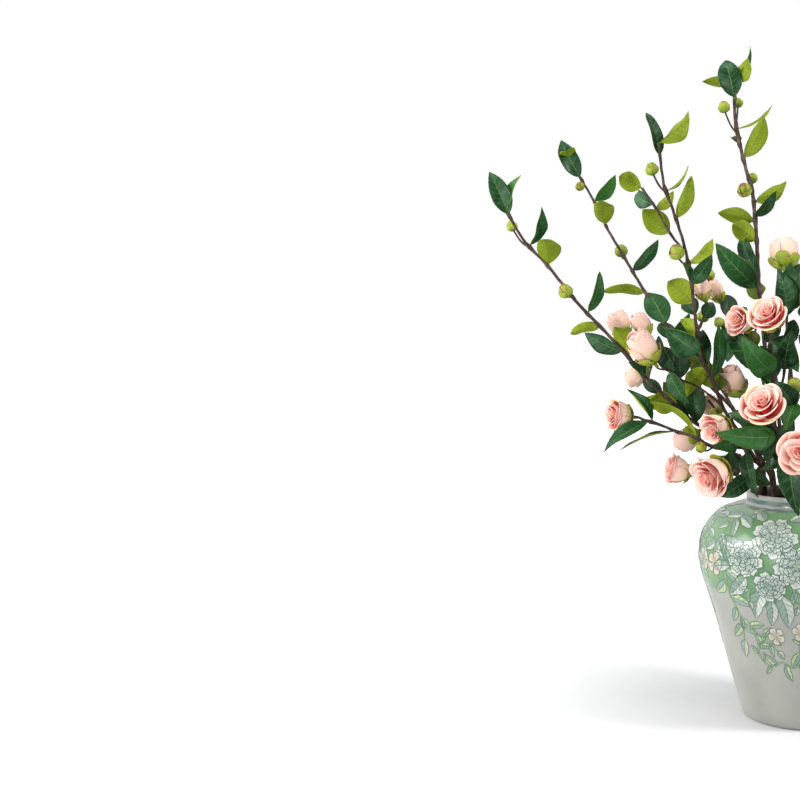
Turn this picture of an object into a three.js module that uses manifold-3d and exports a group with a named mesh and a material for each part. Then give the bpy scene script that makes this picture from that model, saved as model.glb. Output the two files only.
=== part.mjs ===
// A green and white jar holding sixteen cut sprays of pink roses, millimetres, +Z up.
import * as THREE from 'three';
import { mergeVertices } from 'three/addons/utils/BufferGeometryUtils.js';
import createManifold from 'manifold-3d';

const wasm = await createManifold();
wasm.setup();

// Driving dimensions
const jarHeight = 286;
const jarRadius = 124.5;
const footRadius = 72;
const collarRadius = 66.5;
const collarHeight = 15;
const wall = 6;
const lip = 1.6;
const jarSides = 24;
const seatGap = 0.3;
const bladeThickness = 1.5;
const sepalGap = 1.3;
const cupRadius = 3.9;
const longLeaf = 58;
const longStalk = 14;
const rootDepth = 1.2;

// The far half of the bouquet is the near half turned about the jar's axis, each spray a little shorter.
const farTurn = 177;
const farSize = { west: 0.93, northWest: 0.97, frontWest: 0.9, north: 0.95, lowWest: 0.95, lowFront: 0.95,
  front: 0.95, heart: 0.95 };
const farLeafShare = 0.88;
const farLeftOut = { front: [1], heart: [3, 4], west: [2] };

const colours = {
  jar: 0xe9ece6,
  leaf: 0x3f6b2c,
  petal: 0xf3bdb2,
  paleBloom: 0xf1cfc0,
};

// Each spray, measured from the jar's foot: the points of its stem above the mouth and of its twigs, from the
// root out; leaves as axis, place on it, tip x y z, width, roll; buds as axis, place, x y z, radius;
// blooms as axis, x y z, diameter, heading and lean toward the front in degrees, and how open.
const sprays = {
  west: {
    mouth: [-43, -1],
    foot: [-48, -2],
    thick: [2.0, 3.3],
    stem: [
      [-55, -10, 326], [-84, -20, 356], [-124, -30, 373], [-155, -38, 402], [-181, -44, 426],
      [-212, -51, 466], [-240, -58, 498], [-268, -64, 529], [-303, -74, 576], [-331, -82, 608],
      [-350, -92, 644],
    ],
    twigs: [
      [[-175, -42, 421], [-185, -24, 429]],
      [[-193, -46, 442], [-200, -22, 465], [-213, -2, 477]],
      [[-200, -22, 465], [-194, -21, 475]],
      [[-106, -26, 365], [-112, -10, 359]],
    ],
    leaves: [
      [0, 11.8, -372, -96, 697, 26, 15], [0, 12.0, -329, -102, 690, 20, -55],
      [0, 10.8, -306, -92, 651, 20, 68], [0, 10.0, -301, -110, 612, 31, 172],
      [0, 8.6, -241, -52, 570, 24, 40], [0, 8.0, -279, -71, 490, 22, 150],
      [0, 7.0, -265, -41, 492, 24, -42], [0, 6.8, -222, -76, 501, 22, 165],
      [0, 6.2, -205, -79, 455, 18, 55], [0, 4.7, -182, -58, 408, 30, 165],
      [0, 5.3, -199, -22, 398, 24, 190], [2, 1.0, -179, 8, 485, 22, 20],
    ],
    buds: [
      [0, 10.7, -349, -70, 628, 6.5], [0, 9.2, -282, -70, 544, 8.5],
    ],
    blooms: [
      [1, -201, -10, 434, 30, 215, 0, 0.4], [2, -225, 11, 499, 34, 112, 0, 0.4],
      [3, -193, -21, 499, 29, 118, 5, 0.3], [4, -138, -2, 352, 34, 215, -15, 0.5],
    ],
  },
  northWest: {
    mouth: [-34, 19],
    foot: [-40, 24],
    thick: [1.9, 3.1],
    stem: [
      [-52, 26, 328], [-81, 38, 383], [-126, 54, 430], [-172, 81, 496], [-204, 102, 544], [-236, 127, 595],
      [-259, 145, 632], [-282, 163, 676], [-314, 183, 728],
    ],
    twigs: [],
    leaves: [
      [0, 9.5, -331, 176, 764, 28, -10], [0, 9.9, -316, 141, 744, 24, 180],
      [0, 8.9, -246, 155, 708, 20, 60], [0, 8.1, -264, 112, 671, 32, 178],
      [0, 6.5, -182, 105, 613, 24, 35], [0, 5.9, -262, 91, 543, 20, 150], [0, 5.0, -200, 103, 543, 36, 10],
      [0, 4.3, -160, 92, 486, 26, -30], [0, 4.8, -141, 84, 513, 22, 50],
    ],
    buds: [
      [0, 9.5, -300, 166, 694, 6], [0, 6.9, -241, 155, 600, 8.5],
    ],
    blooms: [],
  },
  frontWest: {
    mouth: [-30, -22],
    foot: [-34, -30],
    thick: [1.8, 3.1],
    stem: [
      [-51, -30, 325], [-67, -36, 354], [-90, -42, 392], [-98, -49, 415], [-107, -56, 438],
      [-117, -66, 464], [-122, -93, 520], [-124, -107, 552], [-131, -125, 596], [-143, -149, 640],
      [-150, -164, 664], [-154, -180, 709],
    ],
    twigs: [
      [[-129, -122, 586], [-144, -131, 605], [-162, -142, 639], [-176, -151, 661]],
      [[-93, -44, 398], [-118, -54, 420], [-141, -64, 432], [-155, -74, 444]],
      [[-120, -80, 493], [-112, -72, 507], [-111, -66, 522]],
      [[-76, -39, 369], [-85, -22, 376]],
    ],
    leaves: [
      [0, 12.6, -169, -169, 749, 20, 20], [0, 13.0, -117, -187, 742, 24, 150],
      [0, 11.7, -121, -152, 686, 18, 125], [0, 10.6, -118, -151, 675, 20, 165],
      [1, 3.0, -202, -175, 675, 24, 170], [1, 2.1, -189, -121, 657, 22, -15],
      [1, 1.9, -141, -127, 659, 16, 160], [1, 1.1, -179, -144, 638, 28, 175],
      [0, 9.5, -98, -94, 604, 22, 150], [0, 8.9, -98, -120, 583, 24, 25],
      [0, 8.1, -153, -114, 555, 31, 172], [0, 7.0, -159, -82, 497, 33, -15],
      [0, 5.7, -96, -84, 502, 26, 48], [2, 2.9, -130, -87, 402, 22, 20], [2, 2.4, -171, -50, 488, 22, -20],
      [0, 9.1, -131, -136, 574, 14, 30], [0, 7.4, -142, -59, 508, 24, 150],
      [0, 6.4, -137, -34, 409, 26, 150],
    ],
    buds: [
      [0, 11.6, -164, -158, 682, 7], [0, 9.5, -138, -141, 586, 8.5], [3, 1.2, -108, -41, 560, 7],
      [0, 7.5, -114, -55, 509, 7],
    ],
    blooms: [
      [2, -182, -92, 472, 42, 122, 15, 0.35], [3, -114, -71, 543, 24, 105, 10, 0.1],
      [4, -108, -10, 393, 30, 130, -10, 0.4],
    ],
  },
  north: {
    mouth: [-16, 27],
    foot: [-20, 34],
    thick: [2.6, 3.4],
    stem: [
      [-27, 30, 321], [-32, 38, 372], [-40, 48, 431], [-46, 65, 488], [-52, 86, 547], [-55, 108, 604],
      [-61, 138, 670], [-69, 151, 700], [-81, 164, 750], [-86, 173, 787], [-86, 178, 809], [-90, 182, 829],
    ],
    twigs: [],
    leaves: [
      [0, 11.7, -100, 190, 863, 34, 0], [0, 12.8, -65, 161, 857, 24, 160],
      [0, 12.8, -63, 191, 877, 14, 60], [0, 12.8, -132, 187, 833, 16, 150],
      [0, 10.3, -34, 171, 793, 16, 115], [0, 9.4, -44, 142, 775, 28, 170], [0, 9.8, -92, 183, 754, 14, 30],
      [0, 7.8, -14, 125, 684, 24, 160], [0, 7.5, -29, 106, 672, 18, 40], [0, 7.4, -108, 103, 646, 22, 155],
      [0, 7.0, -87, 85, 629, 28, 165], [0, 5.9, -108, 67, 604, 34, -10], [0, 6.2, -77, 117, 617, 26, -20],
      [0, 5.3, -20, 51, 539, 28, 30], [0, 4.5, -74, 87, 468, 26, -25],
    ],
    buds: [
      [0, 10.1, -99, 151, 790, 7.5], [0, 10.5, -83, 209, 803, 6.5], [0, 8.2, -71, 111, 674, 9],
      [0, 8.6, -63, 172, 694, 7],
    ],
    blooms: [],
  },
  lowWest: {
    mouth: [-47, -25],
    foot: [-50, -26],
    thick: [1.9, 2.8],
    stem: [
      [-53, -42, 313], [-65, -47, 328], [-84, -52, 342], [-105, -55, 348], [-128, -58, 361],
      [-146, -59, 366], [-167, -60, 375], [-187, -60, 381],
    ],
    twigs: [],
    leaves: [
      [0, 8.4, -212, -44, 420, 20, 55], [0, 8.6, -235, -96, 347, 20, 30], [0, 7.0, -216, -81, 343, 16, 65],
      [0, 5.7, -180, -65, 404, 22, 120], [0, 3.6, -107, -10, 321, 22, -30],
    ],
    buds: [
      [0, 4.9, -117, -66, 348, 6.5],
    ],
    blooms: [
      [0, -218, -60, 386, 46, 172, 30, 0.95],
    ],
  },
  lowFront: {
    mouth: [-32, -40],
    foot: [-34, -46],
    thick: [2.0, 2.8],
    stem: [
      [-56, -66, 317], [-68, -84, 323], [-84, -104, 323],
    ],
    twigs: [
      [[-59, -70, 319], [-85, -62, 320], [-113, -60, 314]],
      [[-56, -66, 317], [-64, -66, 345], [-74, -68, 362]],
    ],
    leaves: [
      [0, 2.0, -96, -80, 287, 24, -20], [2, 0.9, -49, -112, 294, 20, 15],
      [2, 1.7, -101, -101, 354, 20, -30], [1, 1.3, -117, -51, 290, 22, -30],
    ],
    buds: [],
    blooms: [
      [0, -99, -125, 323, 54, 212, 48, 1], [1, -144, -70, 320, 42, 158, 15, 0.9],
      [2, -96, -78, 373, 42, 215, 40, 0.95],
    ],
  },
  front: {
    mouth: [-7, -44],
    foot: [-8, -50],
    thick: [2.0, 2.9],
    stem: [
      [-15, -66, 326], [-22, -86, 355], [-29, -106, 381],
    ],
    twigs: [
      [[-18, -78, 345], [-4, -92, 354]],
      [[-22, -86, 355], [-9, -84, 384], [-5, -78, 407]],
    ],
    leaves: [
      [0, 3.2, -83, -116, 397, 22, 35], [0, 3.4, -95, -144, 373, 29, -12],
      [0, 2.2, -42, -110, 327, 22, 20], [1, 0.6, -3, -138, 277, 30, 10], [2, 1.8, -16, -119, 373, 24, 15],
      [2, 1.5, -28, -95, 433, 24, 20],
    ],
    buds: [
      [2, 2.0, -6, -74, 424, 9],
    ],
    blooms: [
      [0, -40, -132, 405, 53, 105, 64, 1], [1, 4, -146, 352, 56, 150, 74, 1],
    ],
  },
  heart: {
    mouth: [-13, -6],
    foot: [-14, -10],
    thick: [2.0, 3.1],
    stem: [
      [-20, -12, 314], [-23, -20, 353], [-26, -30, 397], [-30, -44, 442], [-34, -58, 473],
    ],
    twigs: [
      [[-28, -36, 419], [-42, -42, 447], [-53, -48, 475]],
      [[-23, -22, 363], [-43, -14, 387], [-63, -8, 404]],
      [[-26, -30, 397], [-17, -6, 452], [-16, 20, 514], [-17, 30, 539]],
      [[-39, -40, 441], [-65, -26, 472], [-89, -20, 511]],
    ],
    leaves: [
      [0, 4.7, -98, -31, 504, 30, -10], [0, 4.9, -66, -97, 483, 33, -15], [3, 0.8, -11, -60, 491, 26, 0],
      [3, 1.8, -25, -6, 567, 30, 15], [4, 1.0, -91, -60, 465, 22, 15], [2, 1.0, -24, -48, 425, 22, 20],
      [4, 1.7, -62, -6, 520, 18, 25], [3, 1.5, -37, 47, 460, 24, -20], [4, 1.4, -87, -32, 449, 24, 25],
      [0, 4.4, -57, -17, 445, 26, 30], [3, 1.3, -1, -32, 436, 26, 10],
    ],
    buds: [
      [4, 1.5, -96, -34, 501, 6],
    ],
    blooms: [
      [0, -35, -92, 509, 46, 112, 60, 1], [1, -68, -60, 503, 40, 165, 45, 0.9],
      [2, -81, -8, 425, 40, 115, 10, 0.45], [3, -19, 42, 583, 42, 92, -35, 0.6],
      [4, -101, -16, 540, 24, 112, 4, 0.1],
    ],
  },
};

// A repeatable draw between 0 and 1.
function draw(seed) {
  const value = Math.sin(seed * 12.9898 + 4.1414) * 43758.5453;
  return value - Math.floor(value);
}

function vector(list) {
  return new THREE.Vector3(list[0], list[1], list[2]);
}

// A closed body from its corners and faces, ready for joining.
function solidOf(corners, faces) {
  const geometry = new THREE.BufferGeometry();
  geometry.setAttribute('position', new THREE.Float32BufferAttribute(corners.flatMap((c) => [c.x, c.y, c.z]), 3));
  geometry.setIndex(faces.flat());
  return toManifold(geometry);
}

function toManifold(geometry) {
  const plain = new THREE.BufferGeometry();
  plain.setAttribute('position', geometry.getAttribute('position'));
  plain.setIndex(geometry.getIndex());
  const merged = mergeVertices(plain, 1e-4);
  const mesh = new wasm.Mesh({
    numProp: 3,
    vertProperties: new Float32Array(merged.getAttribute('position').array),
    triVerts: new Uint32Array(merged.getIndex().array),
  });
  const body = new wasm.Manifold(mesh);
  if (body.status() !== 'NoError') throw new Error(`open body: ${body.status()}`);
  if (body.volume() <= 0) throw new Error('a body is inside out');
  return body;
}

function toGeometry(body) {
  const mesh = body.getMesh();
  const geometry = new THREE.BufferGeometry();
  geometry.setAttribute('position', new THREE.Float32BufferAttribute(mesh.vertProperties, 3));
  geometry.setIndex(new THREE.Uint32BufferAttribute(mesh.triVerts, 1));
  geometry.computeVertexNormals();
  return geometry;
}

// Place number u along a chain of points, on a smooth curve through them.
function along(points, u) {
  const last = points.length - 1;
  const i = Math.min(Math.floor(Math.max(u, 0)), last - 1);
  const t = Math.min(Math.max(u - i, 0), 1);
  const a = points[Math.max(i - 1, 0)];
  const b = points[i];
  const c = points[i + 1];
  const d = points[Math.min(i + 2, last)];
  const out = new THREE.Vector3();
  for (const k of ['x', 'y', 'z']) {
    const bend = (2 * a[k] - 5 * b[k] + 4 * c[k] - d[k]) * t * t;
    const twist = (3 * b[k] - a[k] - 3 * c[k] + d[k]) * t * t * t;
    out[k] = 0.5 * (2 * b[k] + (c[k] - a[k]) * t + bend + twist);
  }
  return out;
}

const sides = 4;

// A closed rod through the points, with a radius at each; `ending` may add a bud or a flower's cup at its tip.
function rod(points, radii, ending) {
  const corners = [];
  const faces = [];
  let side = null;
  let ahead = null;
  points.forEach((point, i) => {
    const before = points[Math.max(i - 1, 0)];
    const after = points[Math.min(i + 1, points.length - 1)];
    ahead = after.clone().sub(before).normalize();
    if (!side) side = new THREE.Vector3(ahead.z, 0.3, -ahead.x);
    side = side.clone().addScaledVector(ahead, -side.dot(ahead)).normalize();
    ring(corners, point, ahead, side, radii[i]);
  });
  for (let k = 1; k < sides - 1; k += 1) faces.push([0, k + 1, k]);
  for (let i = 0; i < points.length - 1; i += 1) band(faces, i * sides);
  const end = corners.length - sides;
  if (ending?.bud) {
    const tip = points[points.length - 1];
    for (const [height, size] of [[0.55, 0.97], [1.45, 0.86]]) {
      ring(corners, tip.clone().addScaledVector(ahead, ending.bud * height), ahead, side, ending.bud * size);
    }
    band(faces, end);
    band(faces, end + sides);
    corners.push(tip.clone().addScaledVector(ahead, ending.bud * 2.15));
    for (let k = 0; k < sides; k += 1) {
      faces.push([end + 2 * sides + k, end + 2 * sides + ((k + 1) % sides), corners.length - 1]);
    }
  } else if (ending?.flower) {
    cup(corners, faces, ending.flower, end, Math.atan2(side.dot(ending.flower.other), side.dot(ending.flower.side)));
  } else {
    for (let k = 1; k < sides - 1; k += 1) faces.push([end, end + k, end + k + 1]);
  }
  return solidOf(corners, faces);
}

function ring(corners, centre, ahead, side, radius) {
  const other = ahead.clone().cross(side);
  for (let k = 0; k < sides; k += 1) {
    const angle = (2 * Math.PI * k) / sides;
    corners.push(centre.clone().addScaledVector(side, Math.cos(angle) * radius)
      .addScaledVector(other, Math.sin(angle) * radius));
  }
}

function band(faces, start) {
  for (let k = 0; k < sides; k += 1) {
    const a = start + k;
    const b = start + ((k + 1) % sides);
    faces.push([a, b, b + sides], [a, b + sides, a + sides]);
  }
}

// The green cup under a flower: a flat seat with pointed sepals that follow the flower's side.
function cup(corners, faces, f, start, turn) {
  const rise = f.open > 0.8 ? 0.42 : 0.5;
  const gap = sepalGap + 0.04 * f.radius;
  const at = (angle, share, out) => onFlower(f, angle, outline(f, share) + out, f.height * share);
  const step = (2 * Math.PI) / sides;
  const seat = corners.length;
  for (let k = 0; k < sides; k += 1) corners.push(onFlower(f, turn + k * step, cupRadius - 0.4, 0));
  for (let k = 0; k < sides; k += 1) {
    const middle = turn + (k + 0.5) * step;
    const next = (k + 1) % sides;
    const first = corners.length;
    corners.push(
      at(middle - 0.36 * step, rise * 0.5, gap),
      at(middle + 0.36 * step, rise * 0.5, gap),
      at(middle, rise, gap + 0.8),
      at(middle, rise * 0.52, gap + 0.9),
      at(middle, rise * 0.52, gap - 0.6),
    );
    const [left, right, tip, out, inn] = [0, 1, 2, 3, 4].map((n) => first + n);
    const [low, low2, top, top2] = [start + k, start + next, seat + k, seat + next];
    faces.push([low, low2, out], [low2, right, out], [right, tip, out], [tip, left, out], [left, low, out]);
    faces.push([top2, top, inn], [right, top2, inn], [tip, right, inn], [left, tip, inn], [top, left, inn]);
    faces.push([low, left, top], [low2, top2, right]);
  }
  for (let k = 1; k < sides - 1; k += 1) faces.push([seat, seat + k, seat + k + 1]);
}

const viewer = new THREE.Vector3(0, -1, 0.15).normalize();

// The upper side's direction for a blade that runs along `ahead`, turned by `roll` degrees.
function upperSide(ahead, roll) {
  const facing = viewer.clone().addScaledVector(ahead, -viewer.dot(ahead));
  if (facing.length() < 0.05) facing.set(0.2, 0, 1).addScaledVector(ahead, -ahead.z);
  return facing.normalize().applyAxisAngle(ahead, THREE.MathUtils.degToRad(roll));
}

function leafWidth(s) {
  return Math.sin(Math.PI * Math.pow(s, 0.82)) ** 0.8;
}

// A leaf: a thin closed blade from a point inside its twig, with a bowed midrib, raised waved edges and a
// drawn-out tip. Long leaves have one more row of corners.
function leaf(base, tip, width, roll, seed) {
  const ahead = tip.clone().sub(base);
  const length = ahead.length();
  ahead.normalize();
  const up = upperSide(ahead, roll);
  const side = up.clone().cross(ahead);
  const bow = length * (0.07 + 0.07 * draw(seed));
  const lift = 0.16 + 0.14 * draw(seed + 1);
  const stations = length > longLeaf ? [0.22, 0.5, 0.8] : [0.3, 0.7];
  const corners = [base.clone().addScaledVector(ahead, -rootDepth)];
  const faces = [];
  stations.forEach((s, i) => {
    const middle = base.clone().addScaledVector(ahead, s * length).addScaledVector(up, 4 * bow * s * (1 - s));
    const half = (width / 2) * leafWidth(s);
    const wave = 0.05 * width * Math.cos(i * 2.4 + seed);
    corners.push(
      middle.clone().addScaledVector(side, half).addScaledVector(up, lift * half + wave),
      middle.clone().addScaledVector(up, bladeThickness / 2),
      middle.clone().addScaledVector(side, -half).addScaledVector(up, lift * half - wave),
      middle.clone().addScaledVector(up, -bladeThickness / 2),
    );
  });
  corners.push(tip.clone());
  const last = corners.length - 5;
  for (let k = 0; k < 4; k += 1) {
    const next = (k + 1) % 4;
    faces.push([0, 1 + next, 1 + k], [last + k, last + next, last + 4]);
  }
  for (let a = 1; a < last; a += 4) {
    const [r, t, l, b] = [a, a + 1, a + 2, a + 3];
    faces.push([r, t, r + 4], [t, t + 4, r + 4], [t, l, l + 4], [t, l + 4, t + 4]);
    faces.push([r, r + 4, b], [b, r + 4, b + 4], [l, b, l + 4], [b, b + 4, l + 4]);
  }
  return solidOf(corners, faces);
}

// Where a flower stands: its base, the way it faces, and the sizes that follow from how open it is.
function flower([, x, y, z, diameter, heading, lean, open], seed) {
  const turn = THREE.MathUtils.degToRad(heading);
  const tilt = THREE.MathUtils.degToRad(lean);
  const ahead = new THREE.Vector3(Math.cos(tilt) * Math.cos(turn), -Math.sin(tilt),
    Math.cos(tilt) * Math.sin(turn));
  const radius = diameter / 2;
  const height = radius * (1.5 + 1.1 * (1 - open));
  const base = vector([x, y, z]).addScaledVector(ahead, -height / 2);
  const side = new THREE.Vector3(ahead.z, 0.3, -ahead.x);
  side.addScaledVector(ahead, -side.dot(ahead)).normalize()
    .applyAxisAngle(ahead, 2 * Math.PI * draw(seed + 7));
  const other = ahead.clone().cross(side);
  return { ahead, side, other, base, radius, height, open, seed };
}

// Outer radius of a flower at the share h of its height.
function outline(f, h) {
  const most = f.radius * (0.86 + 0.14 * f.open);
  const rim = 0.3 + 0.66 * Math.sqrt(f.open);
  if (h < 0.5) return Math.max(cupRadius, most * Math.sin((Math.PI / 2) * (h / 0.5)) ** 0.62);
  const t = (h - 0.5) / 0.5;
  return most * (1 + (rim - 1) * t * t);
}

function onFlower(f, angle, reach, height) {
  return f.base.clone().addScaledVector(f.ahead, height)
    .addScaledVector(f.side, Math.cos(angle) * reach)
    .addScaledVector(f.other, Math.sin(angle) * reach);
}

// A flower: cup within cup. Every cup is a ring of petals, each of which starts under the one before it and
// ends over the next, with a notch in the rim where they meet.
function bloomBody(f) {
  const full = f.open > 0.8;
  const petals = full ? 4 : 3;
  const rim = outline(f, 1);
  const cups = [
    { share: 0.2, reach: outline(f, 0.2), tuck: 0.08, notch: 0, turn: 0 },
    { share: 0.52, reach: outline(f, 0.52), tuck: 0.13, notch: 0, turn: 0.1 },
    { share: 0.97, reach: rim, tuck: 0.16, notch: 0.17, turn: 0.25 },
    { share: 0.74, reach: 0.7 * rim, tuck: 0.1, notch: 0, turn: 0.5 },
    { share: 1, reach: 0.56 * rim, tuck: 0.2, notch: 0.14, turn: 0.8 },
    { share: 0.8, reach: 0.32 * rim, tuck: 0.1, notch: 0, turn: 1.1 },
  ];
  if (!full) cups.splice(4, 2);
  const around = 3 * petals;
  const corners = [onFlower(f, 0, 0, seatGap)];
  const faces = [];
  for (let k = 0; k < around; k += 1) {
    corners.push(onFlower(f, (2 * Math.PI * k) / around, cupRadius - 1.6, seatGap));
  }
  for (const { share, reach, tuck, notch, turn } of cups) {
    for (let k = 0; k < around; k += 1) {
      const angle = (2 * Math.PI * (k + turn)) / around;
      const under = [1, 0.25, 0][k % 3];
      const cut = [1, 0, 0.3][k % 3];
      corners.push(onFlower(f, angle, reach * (1 - tuck * under), seatGap + f.height * (share - notch * cut)));
    }
  }
  corners.push(onFlower(f, 0, 0, seatGap + f.height));
  const top = corners.length - 1;
  for (let k = 0; k < around; k += 1) {
    const next = (k + 1) % around;
    faces.push([0, 1 + next, 1 + k]);
    for (let i = 0; i < cups.length; i += 1) {
      const a = 1 + i * around;
      faces.push([a + k, a + next, a + around + next], [a + k, a + around + next, a + around + k]);
    }
    const crown = 1 + cups.length * around;
    faces.push([crown + k, crown + next, top]);
  }
  return solidOf(corners, faces);
}

// Corners of an axis: every second point of its curve, so that a long stem has few rings.
function corded(points, step) {
  const last = points.length - 1;
  const places = [0, 1];
  for (let u = 1 + step; u < last - 0.6 * step; u += step) places.push(u);
  if (last > 1) places.push(last);
  const chain = places.map((u) => along(points, u));
  chain.places = places;
  return chain;
}

// Place number u of the full curve, on its chain of corners.
function onChain(chain, u) {
  let i = 0;
  while (i < chain.length - 2 && chain.places[i + 1] < u) i += 1;
  const t = (u - chain.places[i]) / (chain.places[i + 1] - chain.places[i]);
  return chain[i].clone().lerp(chain[i + 1], Math.min(Math.max(t, 0), 1));
}

function nearest(chains, target) {
  let best = null;
  let least = Infinity;
  for (const chain of chains) {
    for (let i = 0; i < chain.length - 1; i += 1) {
      const line = new THREE.Line3(chain[i], chain[i + 1]);
      const point = line.closestPointToPoint(target, true, new THREE.Vector3());
      if (point.distanceTo(target) < least) {
        least = point.distanceTo(target);
        best = point;
      }
    }
  }
  return best;
}

// The stem and twigs of a spray as chains, each from its root outward, and the flowers at their ends.
function axesOf(name, sprig) {
  const foot = vector([sprig.foot[0], sprig.foot[1], wall + 2 + seatGap]);
  const mouth = vector([sprig.mouth[0], sprig.mouth[1], jarHeight + 4]);
  const routes = [[foot, mouth, ...sprig.stem.map(vector)], ...sprig.twigs.map((twig) => twig.map(vector))];
  const flowers = sprig.blooms.map((row, i) => {
    const f = flower(row, name.length * 31 + i * 17);
    f.axis = row[0];
    routes[f.axis].push(f.base.clone().addScaledVector(f.ahead, -0.22 * f.radius - 4), f.base.clone());
    return f;
  });
  const chains = [];
  routes.forEach((route, i) => {
    if (i > 0) route[0] = nearest(chains, route[0]);
    const chain = corded(route, i === 0 ? 2 : 1);
    if (flowers.some((f) => f.axis === i)) {
      const before = route[route.length - 2];
      chain.splice(chain.length - 1, 0, before);
      chain.places.splice(chain.places.length - 1, 0, route.length - 2);
    }
    chains.push(chain);
  });
  return { chains, flowers };
}

// The green and woody body of one spray.
function sprayBody(name, sprig) {
  const { chains, flowers } = axesOf(name, sprig);
  const [thin, thick] = sprig.thick;
  let body = null;
  chains.forEach((chain, i) => {
    const last = chain.length - 1;
    const flowerHere = flowers.find((f) => f.axis === i);
    const radii = chain.map((_, k) => (i > 0 ? thin * (1 - 0.25 * (k / last)) : thick + (thin - thick) * (k / last)));
    if (flowerHere) radii[last] = cupRadius + 0.8;
    const stick = rod(chain, radii, flowerHere ? { flower: flowerHere } : null);
    body = body ? body.add(stick) : stick;
  });
  sprig.leaves.forEach(([axis, place, x, y, z, width, roll], i) => {
    const root = onChain(chains[axis], place);
    body = body.add(leaf(root, vector([x, y, z]), width, roll, i * 7 + name.length));
  });
  sprig.buds.forEach(([axis, place, x, y, z, radius]) => {
    const root = onChain(chains[axis], place);
    const centre = vector([x, y, z]);
    const up = new THREE.Vector3(0, 0, 1);
    const ahead = centre.clone().sub(root).normalize().add(up).normalize();
    const base = centre.clone().addScaledVector(ahead, -radius);
    const points = [root, base];
    if (root.distanceTo(base) > longStalk) {
      points.splice(1, 0, root.clone().lerp(base, 0.55).addScaledVector(up, -0.12 * root.distanceTo(base)));
    }
    body = body.add(rod(points, points.map(() => 1.3), { bud: radius }));
  });
  return { body, flowers };
}

function material(colour, roughness) {
  return new THREE.MeshStandardMaterial({ color: colour, roughness, metalness: 0 });
}

function named(name, geometry, look) {
  const mesh = new THREE.Mesh(geometry, look);
  mesh.name = name;
  return mesh;
}

// The jar, turned: flat foot, full shoulder, short collar with a rounded lip, hollow.
function jar() {
  const belly = new THREE.SplineCurve([
    [footRadius + 1, 9], [79.5, 32], [90, 70], [103.5, 122], [116.5, 165], [123.4, 190], [jarRadius, 210],
    [119.5, 235], [103, 257.5], [84, 267.5], [collarRadius, jarHeight - collarHeight],
  ].map(([r, z]) => new THREE.Vector2(r, z)));
  const inside = new THREE.SplineCurve([
    [62, wall + 2], [74, 30], [97, 122], [117, 190], [117.5, 212], [102, 247], [78, 261],
    [collarRadius - wall, jarHeight - collarHeight],
  ].map(([r, z]) => new THREE.Vector2(r, z)));
  const outside = belly.getPoints(11);
  const profile = [
    new THREE.Vector2(0, 0),
    new THREE.Vector2(footRadius - 6, 0),
    new THREE.Vector2(footRadius - 1.5, 2.6),
    ...outside,
    new THREE.Vector2(collarRadius - 0.8, jarHeight - lip),
    new THREE.Vector2(collarRadius - 0.8 - lip, jarHeight),
    new THREE.Vector2(collarRadius - wall + lip, jarHeight),
    new THREE.Vector2(collarRadius - wall, jarHeight - lip),
    ...inside.getPoints(5).reverse(),
    new THREE.Vector2(0, wall + 2),
  ];
  const lathe = new THREE.LatheGeometry(profile, jarSides);
  lathe.rotateX(Math.PI / 2);
  return toGeometry(toManifold(lathe));
}

const bouquet = new THREE.Group();
bouquet.add(named('vase', jar(), material(colours.jar, 0.15)));

const leafLook = material(colours.leaf, 0.45);

function plain(name) {
  return name.replace(/[A-Z]/g, (letter) => `_${letter.toLowerCase()}`);
}

// A shape of the far half: made shorter about the mouth, above it, then turned about the jar's axis.
function toFar(geometry, name) {
  const size = farSize[name];
  const position = geometry.getAttribute('position');
  for (let i = 0; i < position.count; i += 1) {
    if (position.getZ(i) > jarHeight) {
      position.setXYZ(i, position.getX(i) * size, position.getY(i) * size,
        jarHeight + (position.getZ(i) - jarHeight) * size);
    }
  }
  geometry.rotateZ(THREE.MathUtils.degToRad(farTurn));
  return geometry;
}

// What a spray of the far half keeps: most of its leaves and flowers.
function farSprig(name, sprig) {
  return {
    ...sprig,
    leaves: sprig.leaves.slice(0, Math.round(sprig.leaves.length * farLeafShare)),
    blooms: sprig.blooms.filter((_, i) => !farLeftOut[name]?.includes(i)),
  };
}

for (const half of ['near', 'far']) {
  for (const [name, sprig] of Object.entries(sprays)) {
    const far = half === 'far';
    const chosen = far ? farSprig(name, sprig) : sprig;
    const { body, flowers } = sprayBody(name, chosen);
    const place = (shape) => (far ? toFar(toGeometry(shape), name) : toGeometry(shape));
    const label = `${half}_${plain(name)}`;
    bouquet.add(named(`spray_${label}`, place(body), leafLook));
    flowers.forEach((f, i) => {
      const look = material(f.open > 0.8 ? colours.petal : colours.paleBloom, 0.6);
      bouquet.add(named(`bloom_${label}_${i + 1}`, place(bloomBody(f)), look));
    });
  }
}

export default bouquet;
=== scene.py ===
# Cut sprays of pink roses in a green and white jar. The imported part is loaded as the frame, and each of its
# nodes is replaced by a finer piece in the same place. Sizes are in millimetres until a mesh is finished.
import math

import bpy
import numpy as np
from mathutils import Matrix, Vector


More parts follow.
